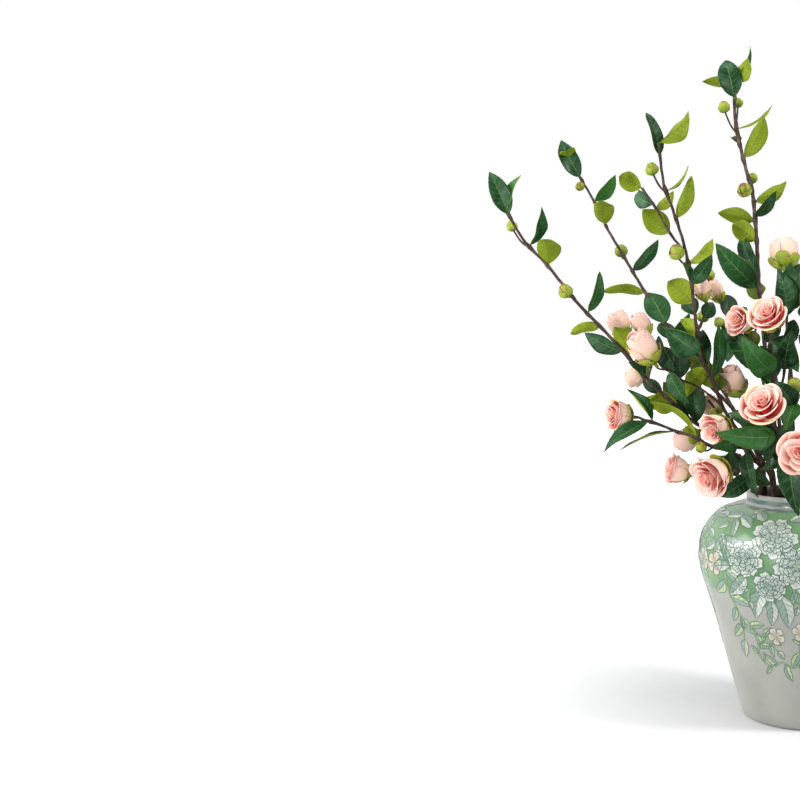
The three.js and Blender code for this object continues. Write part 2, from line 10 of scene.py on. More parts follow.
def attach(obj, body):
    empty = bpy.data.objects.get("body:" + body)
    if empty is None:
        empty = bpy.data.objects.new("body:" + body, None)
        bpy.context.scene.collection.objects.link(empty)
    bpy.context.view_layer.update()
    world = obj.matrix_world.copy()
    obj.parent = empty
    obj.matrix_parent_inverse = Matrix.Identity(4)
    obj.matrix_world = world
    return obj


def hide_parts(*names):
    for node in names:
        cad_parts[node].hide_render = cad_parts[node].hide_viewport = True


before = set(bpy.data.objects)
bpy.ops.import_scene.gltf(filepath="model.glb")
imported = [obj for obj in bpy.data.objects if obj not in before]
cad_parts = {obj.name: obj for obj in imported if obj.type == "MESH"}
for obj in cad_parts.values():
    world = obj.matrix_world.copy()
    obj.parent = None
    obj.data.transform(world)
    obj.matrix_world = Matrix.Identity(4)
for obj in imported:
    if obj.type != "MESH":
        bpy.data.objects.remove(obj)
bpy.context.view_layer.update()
scene = bpy.context.scene
mm = 0.001
print("frame loaded with", len(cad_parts), "nodes")


# Small helpers. A draw lies between 0 and 1 and is the same each time for the same seed.
def draw(seed):
    value = math.sin(seed * 12.9898 + 4.1414) * 43758.5453
    return value - math.floor(value)


def drawFrom(least, more, seed):
    return least + more * draw(seed)


def spot(*xyz):
    return np.array(xyz, float)


def unit(v):
    return v / np.linalg.norm(v)


def squareTo(ahead, v):
    return v - ahead * np.dot(v, ahead)


def turned(v, axis, angle):
    c, s = math.cos(angle), math.sin(angle)
    return v * c + np.cross(axis, v) * s + axis * np.dot(axis, v) * (1 - c)


def smooth(low, high, x):
    t = np.clip((np.asarray(x, float) - low) / (high - low), 0, 1)
    return t * t * (3 - 2 * t)


# Stations of a grid: from 0 to 1 along it and from -1 to 1 across.
def stations(rows, columns):
    return np.linspace(0, 1, rows + 1)[:, None], np.linspace(-1, 1, columns + 1)[None, :]


# How far each point lies along its chain.
def walkedTo(points):
    return np.concatenate([[0], np.cumsum(np.linalg.norm(np.diff(points, axis=0), axis=1))])


# Places u along a chain of points, on a smooth curve through them.
def along(points, u):
    points = np.asarray(points, float)
    u = np.atleast_1d(np.asarray(u, float))
    last = len(points) - 1
    i = np.clip(np.floor(u).astype(int), 0, last - 1)
    t = np.clip(u - i, 0, 1)[:, None]
    a, b = points[np.maximum(i - 1, 0)], points[i]
    c, d = points[i + 1], points[np.minimum(i + 2, last)]
    bend = (2 * a - 5 * b + 4 * c - d) * t**2
    twist = (3 * b - a - 3 * c + d) * t**3
    return 0.5 * (2 * b + (c - a) * t + bend + twist)


# Meshes. A piece gathers grids, shells and tubes, each with marks that the materials read: how far along and
# across it a point lies, its age or place among its like (-1 on inner leaves, for painted shade), its own
# tint, and whether it faces in.
marks = ("grow", "across", "layer", "tint", "inner")
triangles = {}


def newPiece(name, looks):
    return {"name": name, "looks": looks, "count": 0, "points": [], "corners": [], "sizes": [],
            "look": [], "round": [], "marks": {mark: [] for mark in marks}}


def addPoints(piece, points, values):
    shape = points.shape[:-1]
    flat = points.reshape(-1, 3)
    piece["points"].append(flat)
    for mark in marks:
        value = np.broadcast_to(np.asarray(values.get(mark, 0.0), float), shape)
        piece["marks"][mark].append(value.reshape(-1))
    start = piece["count"]
    piece["count"] += len(flat)
    return np.arange(start, piece["count"]).reshape(shape)


def addFaces(piece, faces, look, isRound=True):
    piece["corners"].append(faces.reshape(-1))
    piece["sizes"].append(np.full(len(faces), faces.shape[1]))
    piece["look"].append(np.full(len(faces), look))
    piece["round"].append(np.full(len(faces), isRound))


def quads(number):
    a, b, c, d = number[:-1, :-1], number[1:, :-1], number[1:, 1:], number[:-1, 1:]
    return np.stack([a, b, c, d], -1).reshape(-1, 4)


def gridNormal(grid):
    up = np.cross(np.gradient(grid, axis=0), np.gradient(grid, axis=1))
    return up / np.maximum(np.linalg.norm(up, axis=-1, keepdims=True), 1e-9)


# A thin closed shell on both sides of a grid: the first look on top, the second below and on the rim.
def addBlade(piece, grid, thick, looks, **values):
    half = gridNormal(grid) * (np.broadcast_to(thick, grid.shape[:2]) / 2)[..., None]
    top = addPoints(piece, grid + half, {**values, "inner": 1.0})
    low = addPoints(piece, grid - half, {**values, "inner": 0.0})
    addFaces(piece, quads(top), looks[0])
    addFaces(piece, quads(low)[:, ::-1], looks[1])
    a, b = [np.concatenate([n[:, 0], n[-1, 1:], n[-2::-1, -1], n[0, -2:0:-1]]) for n in (top, low)]
    addFaces(piece, np.stack([np.roll(a, -1), a, b, np.roll(b, -1)], -1), looks[1], False)


# A skin around rings of corners, closed at both ends.
def addSkin(piece, rings, look, values):
    number = addPoints(piece, rings, values)
    closed = np.hstack([number, number[:, :1]])
    addFaces(piece, quads(closed)[:, ::-1], look)
    addFaces(piece, number[:1, ::-1], look, False)
    addFaces(piece, number[-1:], look, False)


# A round tube through centres.
def addTube(piece, centres, radii, look, sides, **values):
    side = None
    rings = []
    angle = 2 * math.pi * np.arange(sides) / sides
    for centre, ahead, radius in zip(centres, np.gradient(centres, axis=0), radii):
        ahead = unit(ahead)
        side = spot(ahead[2], 0.3, -ahead[0]) if side is None else side
        side = unit(squareTo(ahead, side))
        other = np.cross(ahead, side)
        rings.append(centre + radius * (np.cos(angle)[:, None] * side + np.sin(angle)[:, None] * other))
    values = {mark: np.asarray(v, float).reshape(-1, 1) for mark, v in values.items()}
    addSkin(piece, np.array(rings), look, values)


def finishPiece(piece, replaced=(), place=None):
    points = np.concatenate(piece["points"])
    points = (place(points) if place else points) * mm
    corners = np.concatenate(piece["corners"])
    sizes = np.concatenate(piece["sizes"])
    mesh = bpy.data.meshes.new(piece["name"])
    mesh.vertices.add(len(points))
    mesh.vertices.foreach_set("co", points.reshape(-1))
    mesh.loops.add(len(corners))
    mesh.loops.foreach_set("vertex_index", corners)
    mesh.polygons.add(len(sizes))
    mesh.polygons.foreach_set("loop_start", np.concatenate([[0], np.cumsum(sizes)[:-1]]))
    mesh.polygons.foreach_set("material_index", np.concatenate(piece["look"]))
    mesh.polygons.foreach_set("use_smooth", np.concatenate(piece["round"]))
    mesh.update(calc_edges=True)
    for mark in marks:
        layer = mesh.attributes.new(mark, "FLOAT", "POINT")
        layer.data.foreach_set("value", np.concatenate(piece["marks"][mark]))
    for look in piece["looks"]:
        mesh.materials.append(look)
    thing = bpy.data.objects.new(piece["name"], mesh)
    scene.collection.objects.link(thing)
    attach(thing, "root")
    if replaced:
        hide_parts(*replaced)
    triangles[piece["name"]] = int(sizes.sum() - 2 * len(sizes))


# Material helpers
def paint(code):
    parts = [int(code[i:i + 2], 16) / 255 for i in (0, 2, 4)]
    return tuple(p / 12.92 if p <= 0.04045 else ((p + 0.055) / 1.055) ** 2.4 for p in parts) + (1.0,)


# A socket takes another node's output, a number or a colour's code.
def join(tree, socket, value):
    if isinstance(value, bpy.types.NodeSocket):
        tree.links.new(value, socket)
    else:
        socket.default_value = paint(value) if isinstance(value, str) else value


def readNode(tree, kind, output):
    return tree.nodes.new(kind).outputs[output]


def maths(tree, operation, *values):
    node = tree.nodes.new("ShaderNodeMath")
    node.operation = operation
    for socket, value in zip(node.inputs, values):
        join(tree, socket, value)
    return node.outputs[0]


def fade(tree, value, low, high, start=0.0, end=1.0):
    node = tree.nodes.new("ShaderNodeMapRange")
    node.interpolation_type = "SMOOTHSTEP"
    for socket, entry in zip(node.inputs, (value, low, high, start, end)):
        join(tree, socket, entry)
    return node.outputs[0]


def times(tree, *values):
    return maths(tree, "MULTIPLY", *values)


def mixed(tree, share, first, second):
    node = tree.nodes.new("ShaderNodeMix")
    node.data_type = "RGBA"
    join(tree, node.inputs[0], share)
    join(tree, node.inputs[6], first)
    join(tree, node.inputs[7], second)
    return node.outputs[2]


# A colour laid over the ground, as far as the share says.
def laidOver(tree, ground, share, colour):
    return mixed(tree, share, ground, colour)


def readMark(tree, mark):
    node = tree.nodes.new("ShaderNodeAttribute")
    node.attribute_name = mark
    return node.outputs["Fac"]


def noise(tree, place, scale, detail, rough):
    node = tree.nodes.new("ShaderNodeTexNoise")
    for name, value in {"Vector": place, "Scale": scale, "Detail": detail, "Roughness": rough}.items():
        join(tree, node.inputs[name], value)
    return node.outputs["Fac"]


def grain(tree, scale, detail, rough=0.55, stretch=None):
    place = readNode(tree, "ShaderNodeTexCoord", "Object")
    if stretch:
        mapping = tree.nodes.new("ShaderNodeMapping")
        tree.links.new(place, mapping.inputs["Vector"])
        mapping.inputs["Scale"].default_value = stretch
        place = mapping.outputs[0]
    return noise(tree, place, scale, detail, rough)


def raised(tree, shader, height, depth):
    node = tree.nodes.new("ShaderNodeBump")
    node.inputs["Strength"].default_value = 1.0
    node.inputs["Distance"].default_value = depth * mm
    join(tree, node.inputs["Height"], height)
    tree.links.new(node.outputs[0], shader.inputs["Normal"])


def newLook(name, settings):
    look = bpy.data.materials.new(name)
    look.use_nodes = True
    shader = look.node_tree.nodes["Principled BSDF"]
    for socket, value in settings.items():
        shader.inputs[socket].default_value = value
    return look, look.node_tree, shader


# Camera, light and floor
studio = {
    "cameraPlace": (0, -1.7, 0.535), "pan": 17.15, "pitch": -4.3, "roll": -1.32, "lens": 58.5,
    "sensor": 36, "seesTo": 60,
    "ambient": 0.6,  # what the white room gives to the flowers, more of it from the bright side
    "brightSide": (-0.26, 0.16, 0.1), "roomLight": (0.97, 0.99, 1.0, 1), "backdrop": (1, 1, 1, 1),
    "lamps": {  # place, target, size, power and cone in degrees of each soft lamp, 180 for an open panel
        "keyLamp": ((-1.85, -0.6, 1.35), (0, 0, 0.5), 1.1, 26, 180),
        "frontLamp": ((-0.75, -1.45, 0.5), (-0.16, 0, 0.63), 0.22, 64, 37),
        "sideLamp": ((1.25, -0.2, 1.35), (0, 0, 0.1), 0.4, 20, 180),
        "topLamp": ((-0.2, -0.5, 2.2), (0, 0, 0.6), 0.8, 13, 180),
    },
    "floorSize": 40.0, "paper": (0.72, 0.76), "paperGrain": 40,
    # the floor's glow in two steps: distances in metres where it starts and is full, and how bright there
    "glowNear": (0.12, 0.42, 0, 0.2), "glowFar": (0.3, 2.4, 0, 0.5),
}

camera = bpy.data.objects.new("camera", bpy.data.cameras.new("camera"))
camera.data.lens = studio["lens"]
camera.data.sensor_width = studio["sensor"]
camera.data.clip_end = studio["seesTo"]
camera.matrix_world = (
    Matrix.Translation(studio["cameraPlace"])
    @ Matrix.Rotation(math.radians(studio["pan"]), 4, "Z")
    @ Matrix.Rotation(math.radians(90 + studio["pitch"]), 4, "X")
    @ Matrix.Rotation(math.radians(studio["roll"]), 4, "Z")
)
scene.collection.objects.link(camera)
scene.camera = camera

for lampName, (place, target, size, power, cone) in studio["lamps"].items():
    light = bpy.data.lights.new(lampName, "AREA" if cone == 180 else "SPOT")
    light.energy = power
    if cone == 180:
        light.size = size
    else:
        light.shadow_soft_size = size / 2
        light.spot_size = math.radians(cone)
        light.spot_blend = 1.0
    lamp = bpy.data.objects.new(lampName, light)
    lamp.location = place
    lamp.rotation_euler = (Vector(target) - Vector(place)).to_track_quat("-Z", "Y").to_euler()
    scene.collection.objects.link(lamp)

# The white room: bright where the camera sees it, dim and a little one-sided in the light it gives.
scene.view_settings.view_transform = "Standard"
world = bpy.data.worlds.new("paperRoom")
scene.world = world
world.use_nodes = True
room = world.node_tree
room.nodes.clear()
dim, bright = room.nodes.new("ShaderNodeBackground"), room.nodes.new("ShaderNodeBackground")
dim.inputs["Color"].default_value = studio["roomLight"]
bright.inputs["Color"].default_value = studio["backdrop"]
lean = room.nodes.new("ShaderNodeVectorMath")
lean.operation = "DOT_PRODUCT"
lean.inputs[1].default_value = studio["brightSide"]
room.links.new(readNode(room, "ShaderNodeTexCoord", "Generated"), lean.inputs[0])
join(room, dim.inputs["Strength"], maths(room, "ADD", lean.outputs["Value"], studio["ambient"]))
roomMix = room.nodes.new("ShaderNodeMixShader")
room.links.new(readNode(room, "ShaderNodeLightPath", "Is Camera Ray"), roomMix.inputs[0])
room.links.new(dim.outputs[0], roomMix.inputs[1])
room.links.new(bright.outputs[0], roomMix.inputs[2])
room.links.new(roomMix.outputs[0], room.nodes.new("ShaderNodeOutputWorld").inputs["Surface"])


def makeFloor():
    look, tree, shader = newLook("floorPaper", {"Roughness": 0.9})
    look.cycles.emission_sampling = "NONE"  # its glow is only seen, it lights nothing
    dark, light = [(tone, tone, tone, 1) for tone in studio["paper"]]
    join(tree, shader.inputs["Base Color"], mixed(tree, grain(tree, studio["paperGrain"], 2), dark, light))
    shader.inputs["Emission Color"].default_value = studio["backdrop"]
    reach = tree.nodes.new("ShaderNodeVectorMath")
    reach.operation = "LENGTH"
    tree.links.new(readNode(tree, "ShaderNodeTexCoord", "Object"), reach.inputs[0])
    near = fade(tree, reach.outputs["Value"], *studio["glowNear"])
    far = fade(tree, reach.outputs["Value"], *studio["glowFar"])
    glow = maths(tree, "ADD", near, far)
    seen = readNode(tree, "ShaderNodeLightPath", "Is Camera Ray")
    join(tree, shader.inputs["Emission Strength"], times(tree, glow, seen))
    half = studio["floorSize"] / 2
    mesh = bpy.data.meshes.new("floorSheet")
    mesh.from_pydata([(-half, -half, 0), (half, -half, 0), (half, half, 0), (-half, half, 0)], [],
                     [(0, 1, 2, 3)])
    mesh.materials.append(look)
    sheet = bpy.data.objects.new("floorSheet", mesh)
    scene.collection.objects.link(sheet)


makeFloor()
print("camera, lamps and floor placed")


# What grows: leaves, flowers, buds, stems and twigs
lookOf = {"bark": 0, "leafTop": 1, "leafUnder": 2, "scale": 3}  # places in a spray's list of finishes
viewer = unit(spot(0, -1, 0.15))  # the way to whoever looks at the front, which the leaves turn to

# A leaf. Lengths are in millimetres, and bow to hook are shares of the leaf's own length or width.
foliage = {
    "rows": 26, "columns": 8, "thick": 0.55, "edgeThick": 0.3, "ribThick": 0.7, "ribWidth": 0.9,
    "petiole": 0.07, "sunk": 1.2, "short": 2.2, "tooth": 0.005, "drawnIn": 0.006,
    "veins": 8.0, "veinSlant": 1.1, "quilt": 0.36, "groove": 0.5, "grooveWidth": 1.1,
    "bow": (0.07, 0.07), "lift": (0.1, 0.32),  # at least so much, and at most so much more
    "wave": 0.05, "ripple": 0.02, "tipCurl": 0.13, "swing": 0.036, "hook": 0.03,
    "twist": 0.9, "curl": 4.0, "curlFrom": 0.3,  # one edge curls over beyond this share of the half width
}


# The way a blade's upper side faces: toward the viewer, rolled about the leaf's own line.
def upperSide(ahead, roll):
    facing = squareTo(ahead, viewer)
    if np.linalg.norm(facing) < 0.05:
        facing = spot(0.2, 0, 1) - ahead * ahead[2]
    return turned(unit(facing), ahead, math.radians(roll))


# Half widths of a leaf from its stalk to its tip, with small teeth between them.
def leafOutline(s, v, length, width):
    form = foliage
    blade = np.clip((s - form["petiole"]) / (1 - form["petiole"]), 0, 1)
    rounded = np.sin(np.pi * blade**0.82) ** 0.8
    half = np.maximum(width / 2 * rounded, 1.0 - 0.8 * smooth(0.9, 1, s))
    tooth = form["tooth"] * length * (np.arange(form["rows"] + 1)[:, None] % 2) * smooth(0.12, 0.2, s)
    edge = tooth * smooth(1, 0.93, s) - form["drawnIn"] * length
    return half + edge * (np.abs(v) ** 6) * smooth(0.1, 0.2, s)


# How high a leaf lies over a straight line from root to tip: a bowed midrib, raised sides, waved edges,
# quilting between the veins, a groove on the midrib and a tip that curls down.
def leafHeight(s, v, half, length, width, seed):
    form = foliage
    off = np.abs(v)
    bow = length * drawFrom(*form["bow"], seed)
    lift = drawFrom(*form["lift"], seed + 1)
    station = np.interp(s, [0, 0.22, 0.5, 0.8, 1], [-0.6, 0, 1, 2, 2.5])
    wave = form["wave"] * width * np.cos(station * 2.4 + seed) * np.sin(np.pi * s) ** 0.5
    height = 4 * bow * s * (1 - s) + lift * half * off**1.2 + wave * v
    ripple = form["ripple"] * width * np.sin(15 * s + 6 * draw(seed + 2) + 1.5 * v) * off**3
    rib = s * form["veins"] - form["veinSlant"] * off
    quilt = -form["quilt"] * np.cos(2 * np.pi * rib) * off**0.5 * (1 - off)
    groove = -form["groove"] * np.exp(-((v * half / form["grooveWidth"]) ** 2))
    height = height + (ripple + quilt + groove) * (smooth(0.05, 0.2, s) * smooth(1, 0.93, s))
    tipCurl = (draw(seed + 3) - 0.3) * form["tipCurl"] * length
    return height - tipCurl * np.clip((s - 0.68) / 0.32, 0, 1) ** 2


def addLeaf(piece, root, tip, width, roll, seed, shaded):
    form = foliage
    ahead = tip - root
    length = np.linalg.norm(ahead)
    ahead = ahead / length
    up = upperSide(ahead, roll)
    side = np.cross(up, ahead)
    s, v = stations(form["rows"], form["columns"])  # from the stalk to the tip, and from edge to edge
    half = leafOutline(s, v, length, width)
    height = leafHeight(s, v, half, length, width, seed)
    # the midrib swings aside and hooks at the tip, and the blade twists
    arch = np.sin(np.pi * s)
    swing = form["swing"] * length * (draw(seed + 4) - 0.5) * arch
    swing = swing - form["hook"] * length * (draw(seed + 10) - 0.5) * np.clip((s - 0.7) / 0.3, 0, 1) ** 2
    twist = form["twist"] * (draw(seed + 7) - 0.5) * arch
    # on some leaves one edge curls up and over
    start = form["curlFrom"]
    away = v * (1 if draw(seed + 8) > 0.5 else -1)
    turn = form["curl"] * max(draw(seed + 9) - 0.45, 0.01) * arch**1.5 + 0.01
    over = np.clip(away - start, 0, None) * turn
    out = np.where(away > start, start + np.sin(over) / turn, away) * np.sign(away * v)
    height = height + half * (1 - np.cos(over)) / turn
    across = out * half * np.cos(twist) + swing
    height = height + out * half * np.sin(twist)
    reach = s * (length - form["short"] + form["sunk"]) - form["sunk"]
    grid = root + ahead * reach[..., None] + side * across[..., None] + up * height[..., None]
    ridge = form["ribThick"] * np.exp(-((v * half / form["ribWidth"]) ** 2)) * (1 - 0.7 * s)
    thick = form["thick"] + (form["edgeThick"] - form["thick"]) * np.abs(v) + ridge
    # an age for the other leaves, or -1 on the inner leaves, which their materials darken as painted shade
    ageOrPaintedShade = -1.0 if shaded else draw(seed + 6)
    finishes = (lookOf["leafTop"], lookOf["leafUnder"])
    addBlade(piece, grid, thick, finishes, grow=s, across=v, tint=draw(seed + 5), layer=ageOrPaintedShade)


# A flower's measures are shares of its radius: what each flower has, and what it gains closed or open.
flowerForm = {
    "depth": 1.5, "depthClosed": 1.1, "width": 0.86, "widthOpen": 0.14, "rim": 0.3, "rimOpen": 0.66,
    "fullFrom": 0.8, "neck": 0.22, "heartOff": 0.24,
}
# The green cup under it: an outer turn of small scales and a turn of tall ones.
cupForm = {
    "radius": 3.9, "sides": 10, "rise": 0.32, "riseFull": 0.16,
    "outer": 4, "outerAngle": 0.6, "outerGap": 1.5, "tall": 5, "tallAngle": 0.56, "tallGap": 0.8,
}
scaleForm = {
    "rows": 8, "columns": 6, "thick": 0.75, "edgeThinner": 0.3, "uneven": 0.06, "aside": 0.12, "loose": 0.05,
    "tilt": 0.25,
}
budForm = {
    "tall": 2.15, "core": 0.93, "sides": 10, "stalk": (1.35, 1.2), "stalkSides": 7, "sag": 0.12,
    "scales": 7, "firstTurn": 4, "top": (0.62, 1.0), "angle": (0.92, 1.2), "gap": (0.12, 0.03),
}


# Where a flower stands: its base, the way it faces, and the sizes that follow from how open it is.
def flower(row, seed):
    form = flowerForm
    axis, x, y, z, diameter, heading, lean, isOpen = row
    turn, tilt = math.radians(heading), math.radians(lean)
    ahead = spot(math.cos(tilt) * math.cos(turn), -math.sin(tilt), math.cos(tilt) * math.sin(turn))
    radius = diameter / 2
    height = radius * (form["depth"] + form["depthClosed"] * (1 - isOpen))
    base = spot(x, y, z) - ahead * height / 2
    side = spot(ahead[2], 0.3, -ahead[0])
    side = turned(unit(squareTo(ahead, side)), ahead, 2 * math.pi * draw(seed + 7))
    other = np.cross(ahead, side)
    most = radius * (form["width"] + form["widthOpen"] * isOpen)
    rim = form["rim"] + form["rimOpen"] * math.sqrt(isOpen)

    def outline(h):
        h = np.asarray(h, float)
        low = np.maximum(cupForm["radius"], most * np.sin(np.pi * np.clip(h, 0, 0.5)) ** 0.62)
        t = np.clip((h - 0.5) / 0.5, 0, None)
        return np.where(h < 0.5, low, most * (1 + (rim - 1) * t * t))

    swing = 6.3 * draw(seed + 12)
    heartSide = side * math.cos(swing) + other * math.sin(swing)
    return {"axis": axis, "ahead": ahead, "side": side, "other": other, "base": base, "radius": radius,
            "height": height, "full": isOpen > form["fullFrom"], "seed": seed, "outline": outline,
            "heartSide": heartSide, "heart": heartSide * form["heartOff"] * (draw(seed + 13) - 0.3)}


def onFlower(f, angle, reach, height):
    angle, reach, height = np.broadcast_arrays(angle, reach, height)
    return (f["base"] + f["ahead"] * height[..., None] + f["side"] * (np.cos(angle) * reach)[..., None]
            + f["other"] * (np.sin(angle) * reach)[..., None])


# Sepals and bud scales: rounded green scales that lie on a flower's or bud's side.
def addScale(piece, f, centre, low, high, halfAngle, gap, seed):
    form = scaleForm
    b, a = stations(form["rows"], form["columns"])
    top = high * (1 - form["uneven"] * draw(seed))
    share = low + (top - low) * b * (1 - 0.2 * np.abs(a) ** 2.4 * b)
    spread = halfAngle * np.sin(np.pi * (0.22 + 0.5 * b)) ** 0.8
    angle = centre + spread * a + form["aside"] * (draw(seed + 1) - 0.5) * b
    swell = gap * smooth(0, 0.25, b) + form["loose"] * f["radius"] * (draw(seed + 2) - 0.2) * b**3
    reach = f["outline"](share) + swell + form["tilt"] * a * np.sin(np.pi * b)
    grid = onFlower(f, angle, reach, f["height"] * share)
    thick = form["thick"] - form["edgeThinner"] * np.abs(a) * b
    addBlade(piece, grid, thick, [lookOf["scale"]] * 2, grow=b, across=a, tint=draw(seed + 3))


def addCup(piece, f):
    form = cupForm
    rise = form["riseFull"] if f["full"] else form["rise"]
    neck = onFlower(f, 0, 0, np.array([-flowerForm["neck"] * f["radius"] - 2, -1.5, 0.2, 1.6]))
    wide = [2.0, 0.62 * form["radius"], form["radius"] + 0.5, form["radius"] + 0.7]
    addTube(piece, neck, wide, lookOf["scale"], form["sides"], grow=[0.05, 0.1, 0.2, 0.2],
            tint=[draw(f["seed"])] * 4)
    for k in range(form["outer"]):
        seed = f["seed"] + 31 + k
        centre = 2 * math.pi * (k + 0.5) / form["outer"]
        addScale(piece, f, centre, 0.0, 0.6 * rise, form["outerAngle"], form["outerGap"], seed)
    for k in range(form["tall"]):
        seed = f["seed"] + 51 + k
        centre = 2 * math.pi * k / form["tall"]
        high = rise * (1.0 + 0.3 * draw(seed))
        addScale(piece, f, centre, 0.02, high, form["tallAngle"], form["tallGap"], seed)


def addBud(piece, root, centre, radius, seed):
    form = budForm
    up = spot(0, 0, 1)
    ahead = unit(unit(centre - root) + up)
    base = centre - ahead * radius
    gap = np.linalg.norm(root - base)
    chain = [root, base]
    if gap > 14:  # a long stalk sags a little
        chain.insert(1, root + (base - root) * 0.55 - up * form["sag"] * gap)
    stalk = along(np.array(chain), np.linspace(0, len(chain) - 1, 13))
    addTube(piece, stalk, np.linspace(*form["stalk"], 13), lookOf["bark"], form["stalkSides"],
            grow=np.linspace(0, 1, 13), tint=[0.6] * 13)
    side = unit(np.cross(ahead, spot(0.3, 0.9, 0.1)))

    def outline(h):
        return radius * np.sin(np.pi * np.clip(h, 0.004, 0.996) ** 0.85) ** 0.48 * form["core"]

    f = {"ahead": ahead, "side": side, "other": np.cross(ahead, side), "base": base, "radius": radius,
         "height": form["tall"] * radius, "outline": outline}
    share = np.linspace(0, 1, 12)
    core = onFlower(f, 0, 0, f["height"] * share)
    addTube(piece, core, outline(share) * form["core"], lookOf["scale"], form["sides"], grow=share,
            tint=[draw(seed)] * 12, layer=[1.0] * 12)
    for k in range(form["scales"]):  # in two turns, the lowest outermost
        turn, n = divmod(k, form["firstTurn"])
        addScale(piece, f, 1.57 * n + 0.9 * turn + seed, 0.02, form["top"][turn], form["angle"][turn],
                 radius * form["gap"][turn], seed * 3 + k)


# Stems and twigs. The radii at a stick's root and tip are shares of the spray's thick and thin ones.
branch = {
    "jarFloor": 8.3, "mouthHeight": 290, "barkStep": 7.0, "stemSides": 9, "twigSides": 7,
    "stem": (0.95, 0.8), "twig": (0.85, 0.65), "shoot": 0.8,
    "knotSwell": 0.32, "knotLength": 4.0, "wobble": 0.06, "sway": 0.35,
}


# The stem and twigs of a spray as smooth chains from their roots, with the flowers at their ends.
def axesOf(name, sprig):
    foot = [*sprig["foot"], branch["jarFloor"]]
    mouth = [*sprig["mouth"], branch["mouthHeight"]]
    routes = [[foot, mouth] + sprig["stem"]] + [list(twig) for twig in sprig["twigs"]]
    flowers = []
    for i, row in enumerate(sprig["blooms"]):
        f = flower(row, len(name) * 31 + i * 17)
        neck = f["base"] - f["ahead"] * (flowerForm["neck"] * f["radius"] + 4)
        routes[f["axis"]] = routes[f["axis"]] + [list(neck), list(f["base"])]
        flowers.append(f)
    chains = []
    for route in routes:
        route = np.array(route, float)
        if chains:  # a twig is rooted on the nearest stick before it
            near = np.concatenate([along(c, np.linspace(0, len(c) - 1, 16 * len(c))) for c in chains])
            route[0] = near[np.argmin(np.linalg.norm(near - route[0], axis=1))]
        chains.append(route)
    return chains, flowers


def addStick(piece, chain, first, last, sides, knots, seed):
    us = [0.0]
    while us[-1] < len(chain) - 1:
        span = np.linalg.norm(chain[min(int(us[-1]) + 1, len(chain) - 1)] - chain[int(us[-1])])
        us.append(us[-1] + branch["barkStep"] / max(span, branch["barkStep"]))
    us = np.array(us[:-1] + [len(chain) - 1.0])
    centres = along(chain, us)
    walked = walkedTo(centres)
    radii = first + (last - first) * us / us[-1]
    radii = radii * (1 + branch["wobble"] * np.sin(walked * 0.43 + seed) * np.sin(walked * 0.17 + 2 * seed))
    for u in knots:
        far = np.interp(u, us, walked)
        radii = radii + branch["knotSwell"] * first * np.exp(-(((walked - far) / branch["knotLength"]) ** 2))
    lean = branch["sway"] * np.sin(walked * 0.31 + seed)[:, None] * smooth(0, 20, walked)[:, None]
    centres = centres + spot(0.7, 0.5, 0) * lean * smooth(0, 20, walked[-1] - walked)[:, None]
    addTube(piece, centres, radii, lookOf["bark"], sides, grow=us / us[-1], tint=[draw(seed)] * len(us))


def makeSpray(name, label, sprig, looks):
    chains, flowers = axesOf(name, sprig)
    thin, thick = sprig["thick"]
    piece = newPiece("spray" + label, looks)
    for i, chain in enumerate(chains):
        knots = [row[1] for row in sprig["leaves"] + sprig["buds"] if row[0] == i]
        if i == 0:
            first, last, sides = branch["stem"][0] * thick, branch["stem"][1] * thin, branch["stemSides"]
        else:
            first, last, sides = branch["twig"][0] * thin, branch["twig"][1] * thin, branch["twigSides"]
        addStick(piece, chain, first, last, sides, knots, len(name) + i)
    first, last = branch["shoot"] * thick, branch["shoot"] * thin
    for i, shoot in enumerate(sprig["shoots"]):
        addStick(piece, np.array(shoot, float), first, last, branch["twigSides"], [], i + 3.3)
    for i, (axis, u, x, y, z, width, roll) in enumerate(sprig["leaves"] + sprig["inner"]):
        root = along(chains[axis], u)[0]
        shaded = i >= len(sprig["leaves"])
        addLeaf(piece, root, spot(x, y, z), width, roll, i * 7 + len(name), shaded)
    for i, (axis, u, x, y, z, radius) in enumerate(sprig["buds"]):
        addBud(piece, along(chains[axis], u)[0], spot(x, y, z), radius, i * 5 + len(name))
    for f in flowers:
        addCup(piece, f)
    return piece, flowers


# The far half of the bouquet is the near half turned about the jar's axis, each spray made smaller above the
# mouth, with fewer leaves and without the flowers of these numbers.
farHalf = {
    "turn": 177, "above": 286, "leafShare": 0.88,
    "size": {"west": 0.93, "northWest": 0.97, "frontWest": 0.9, "north": 0.95, "lowWest": 0.95,
             "lowFront": 0.95, "front": 0.95, "heart": 0.95},
    "leftOut": {"front": [1], "heart": [3, 4], "west": [2]},
}


def farPlace(name):
    size, above = farHalf["size"][name], farHalf["above"]
    c, s = math.cos(math.radians(farHalf["turn"])), math.sin(math.radians(farHalf["turn"]))

    def place(points):
        high = points[:, 2] > above
        out = points.copy()
        out[high, :2] *= size
        out[high, 2] = above + (points[high, 2] - above) * size
        x, y = out[:, 0].copy(), out[:, 1].copy()
        out[:, 0], out[:, 1] = x * c - y * s, x * s + y * c
        return out

    return place


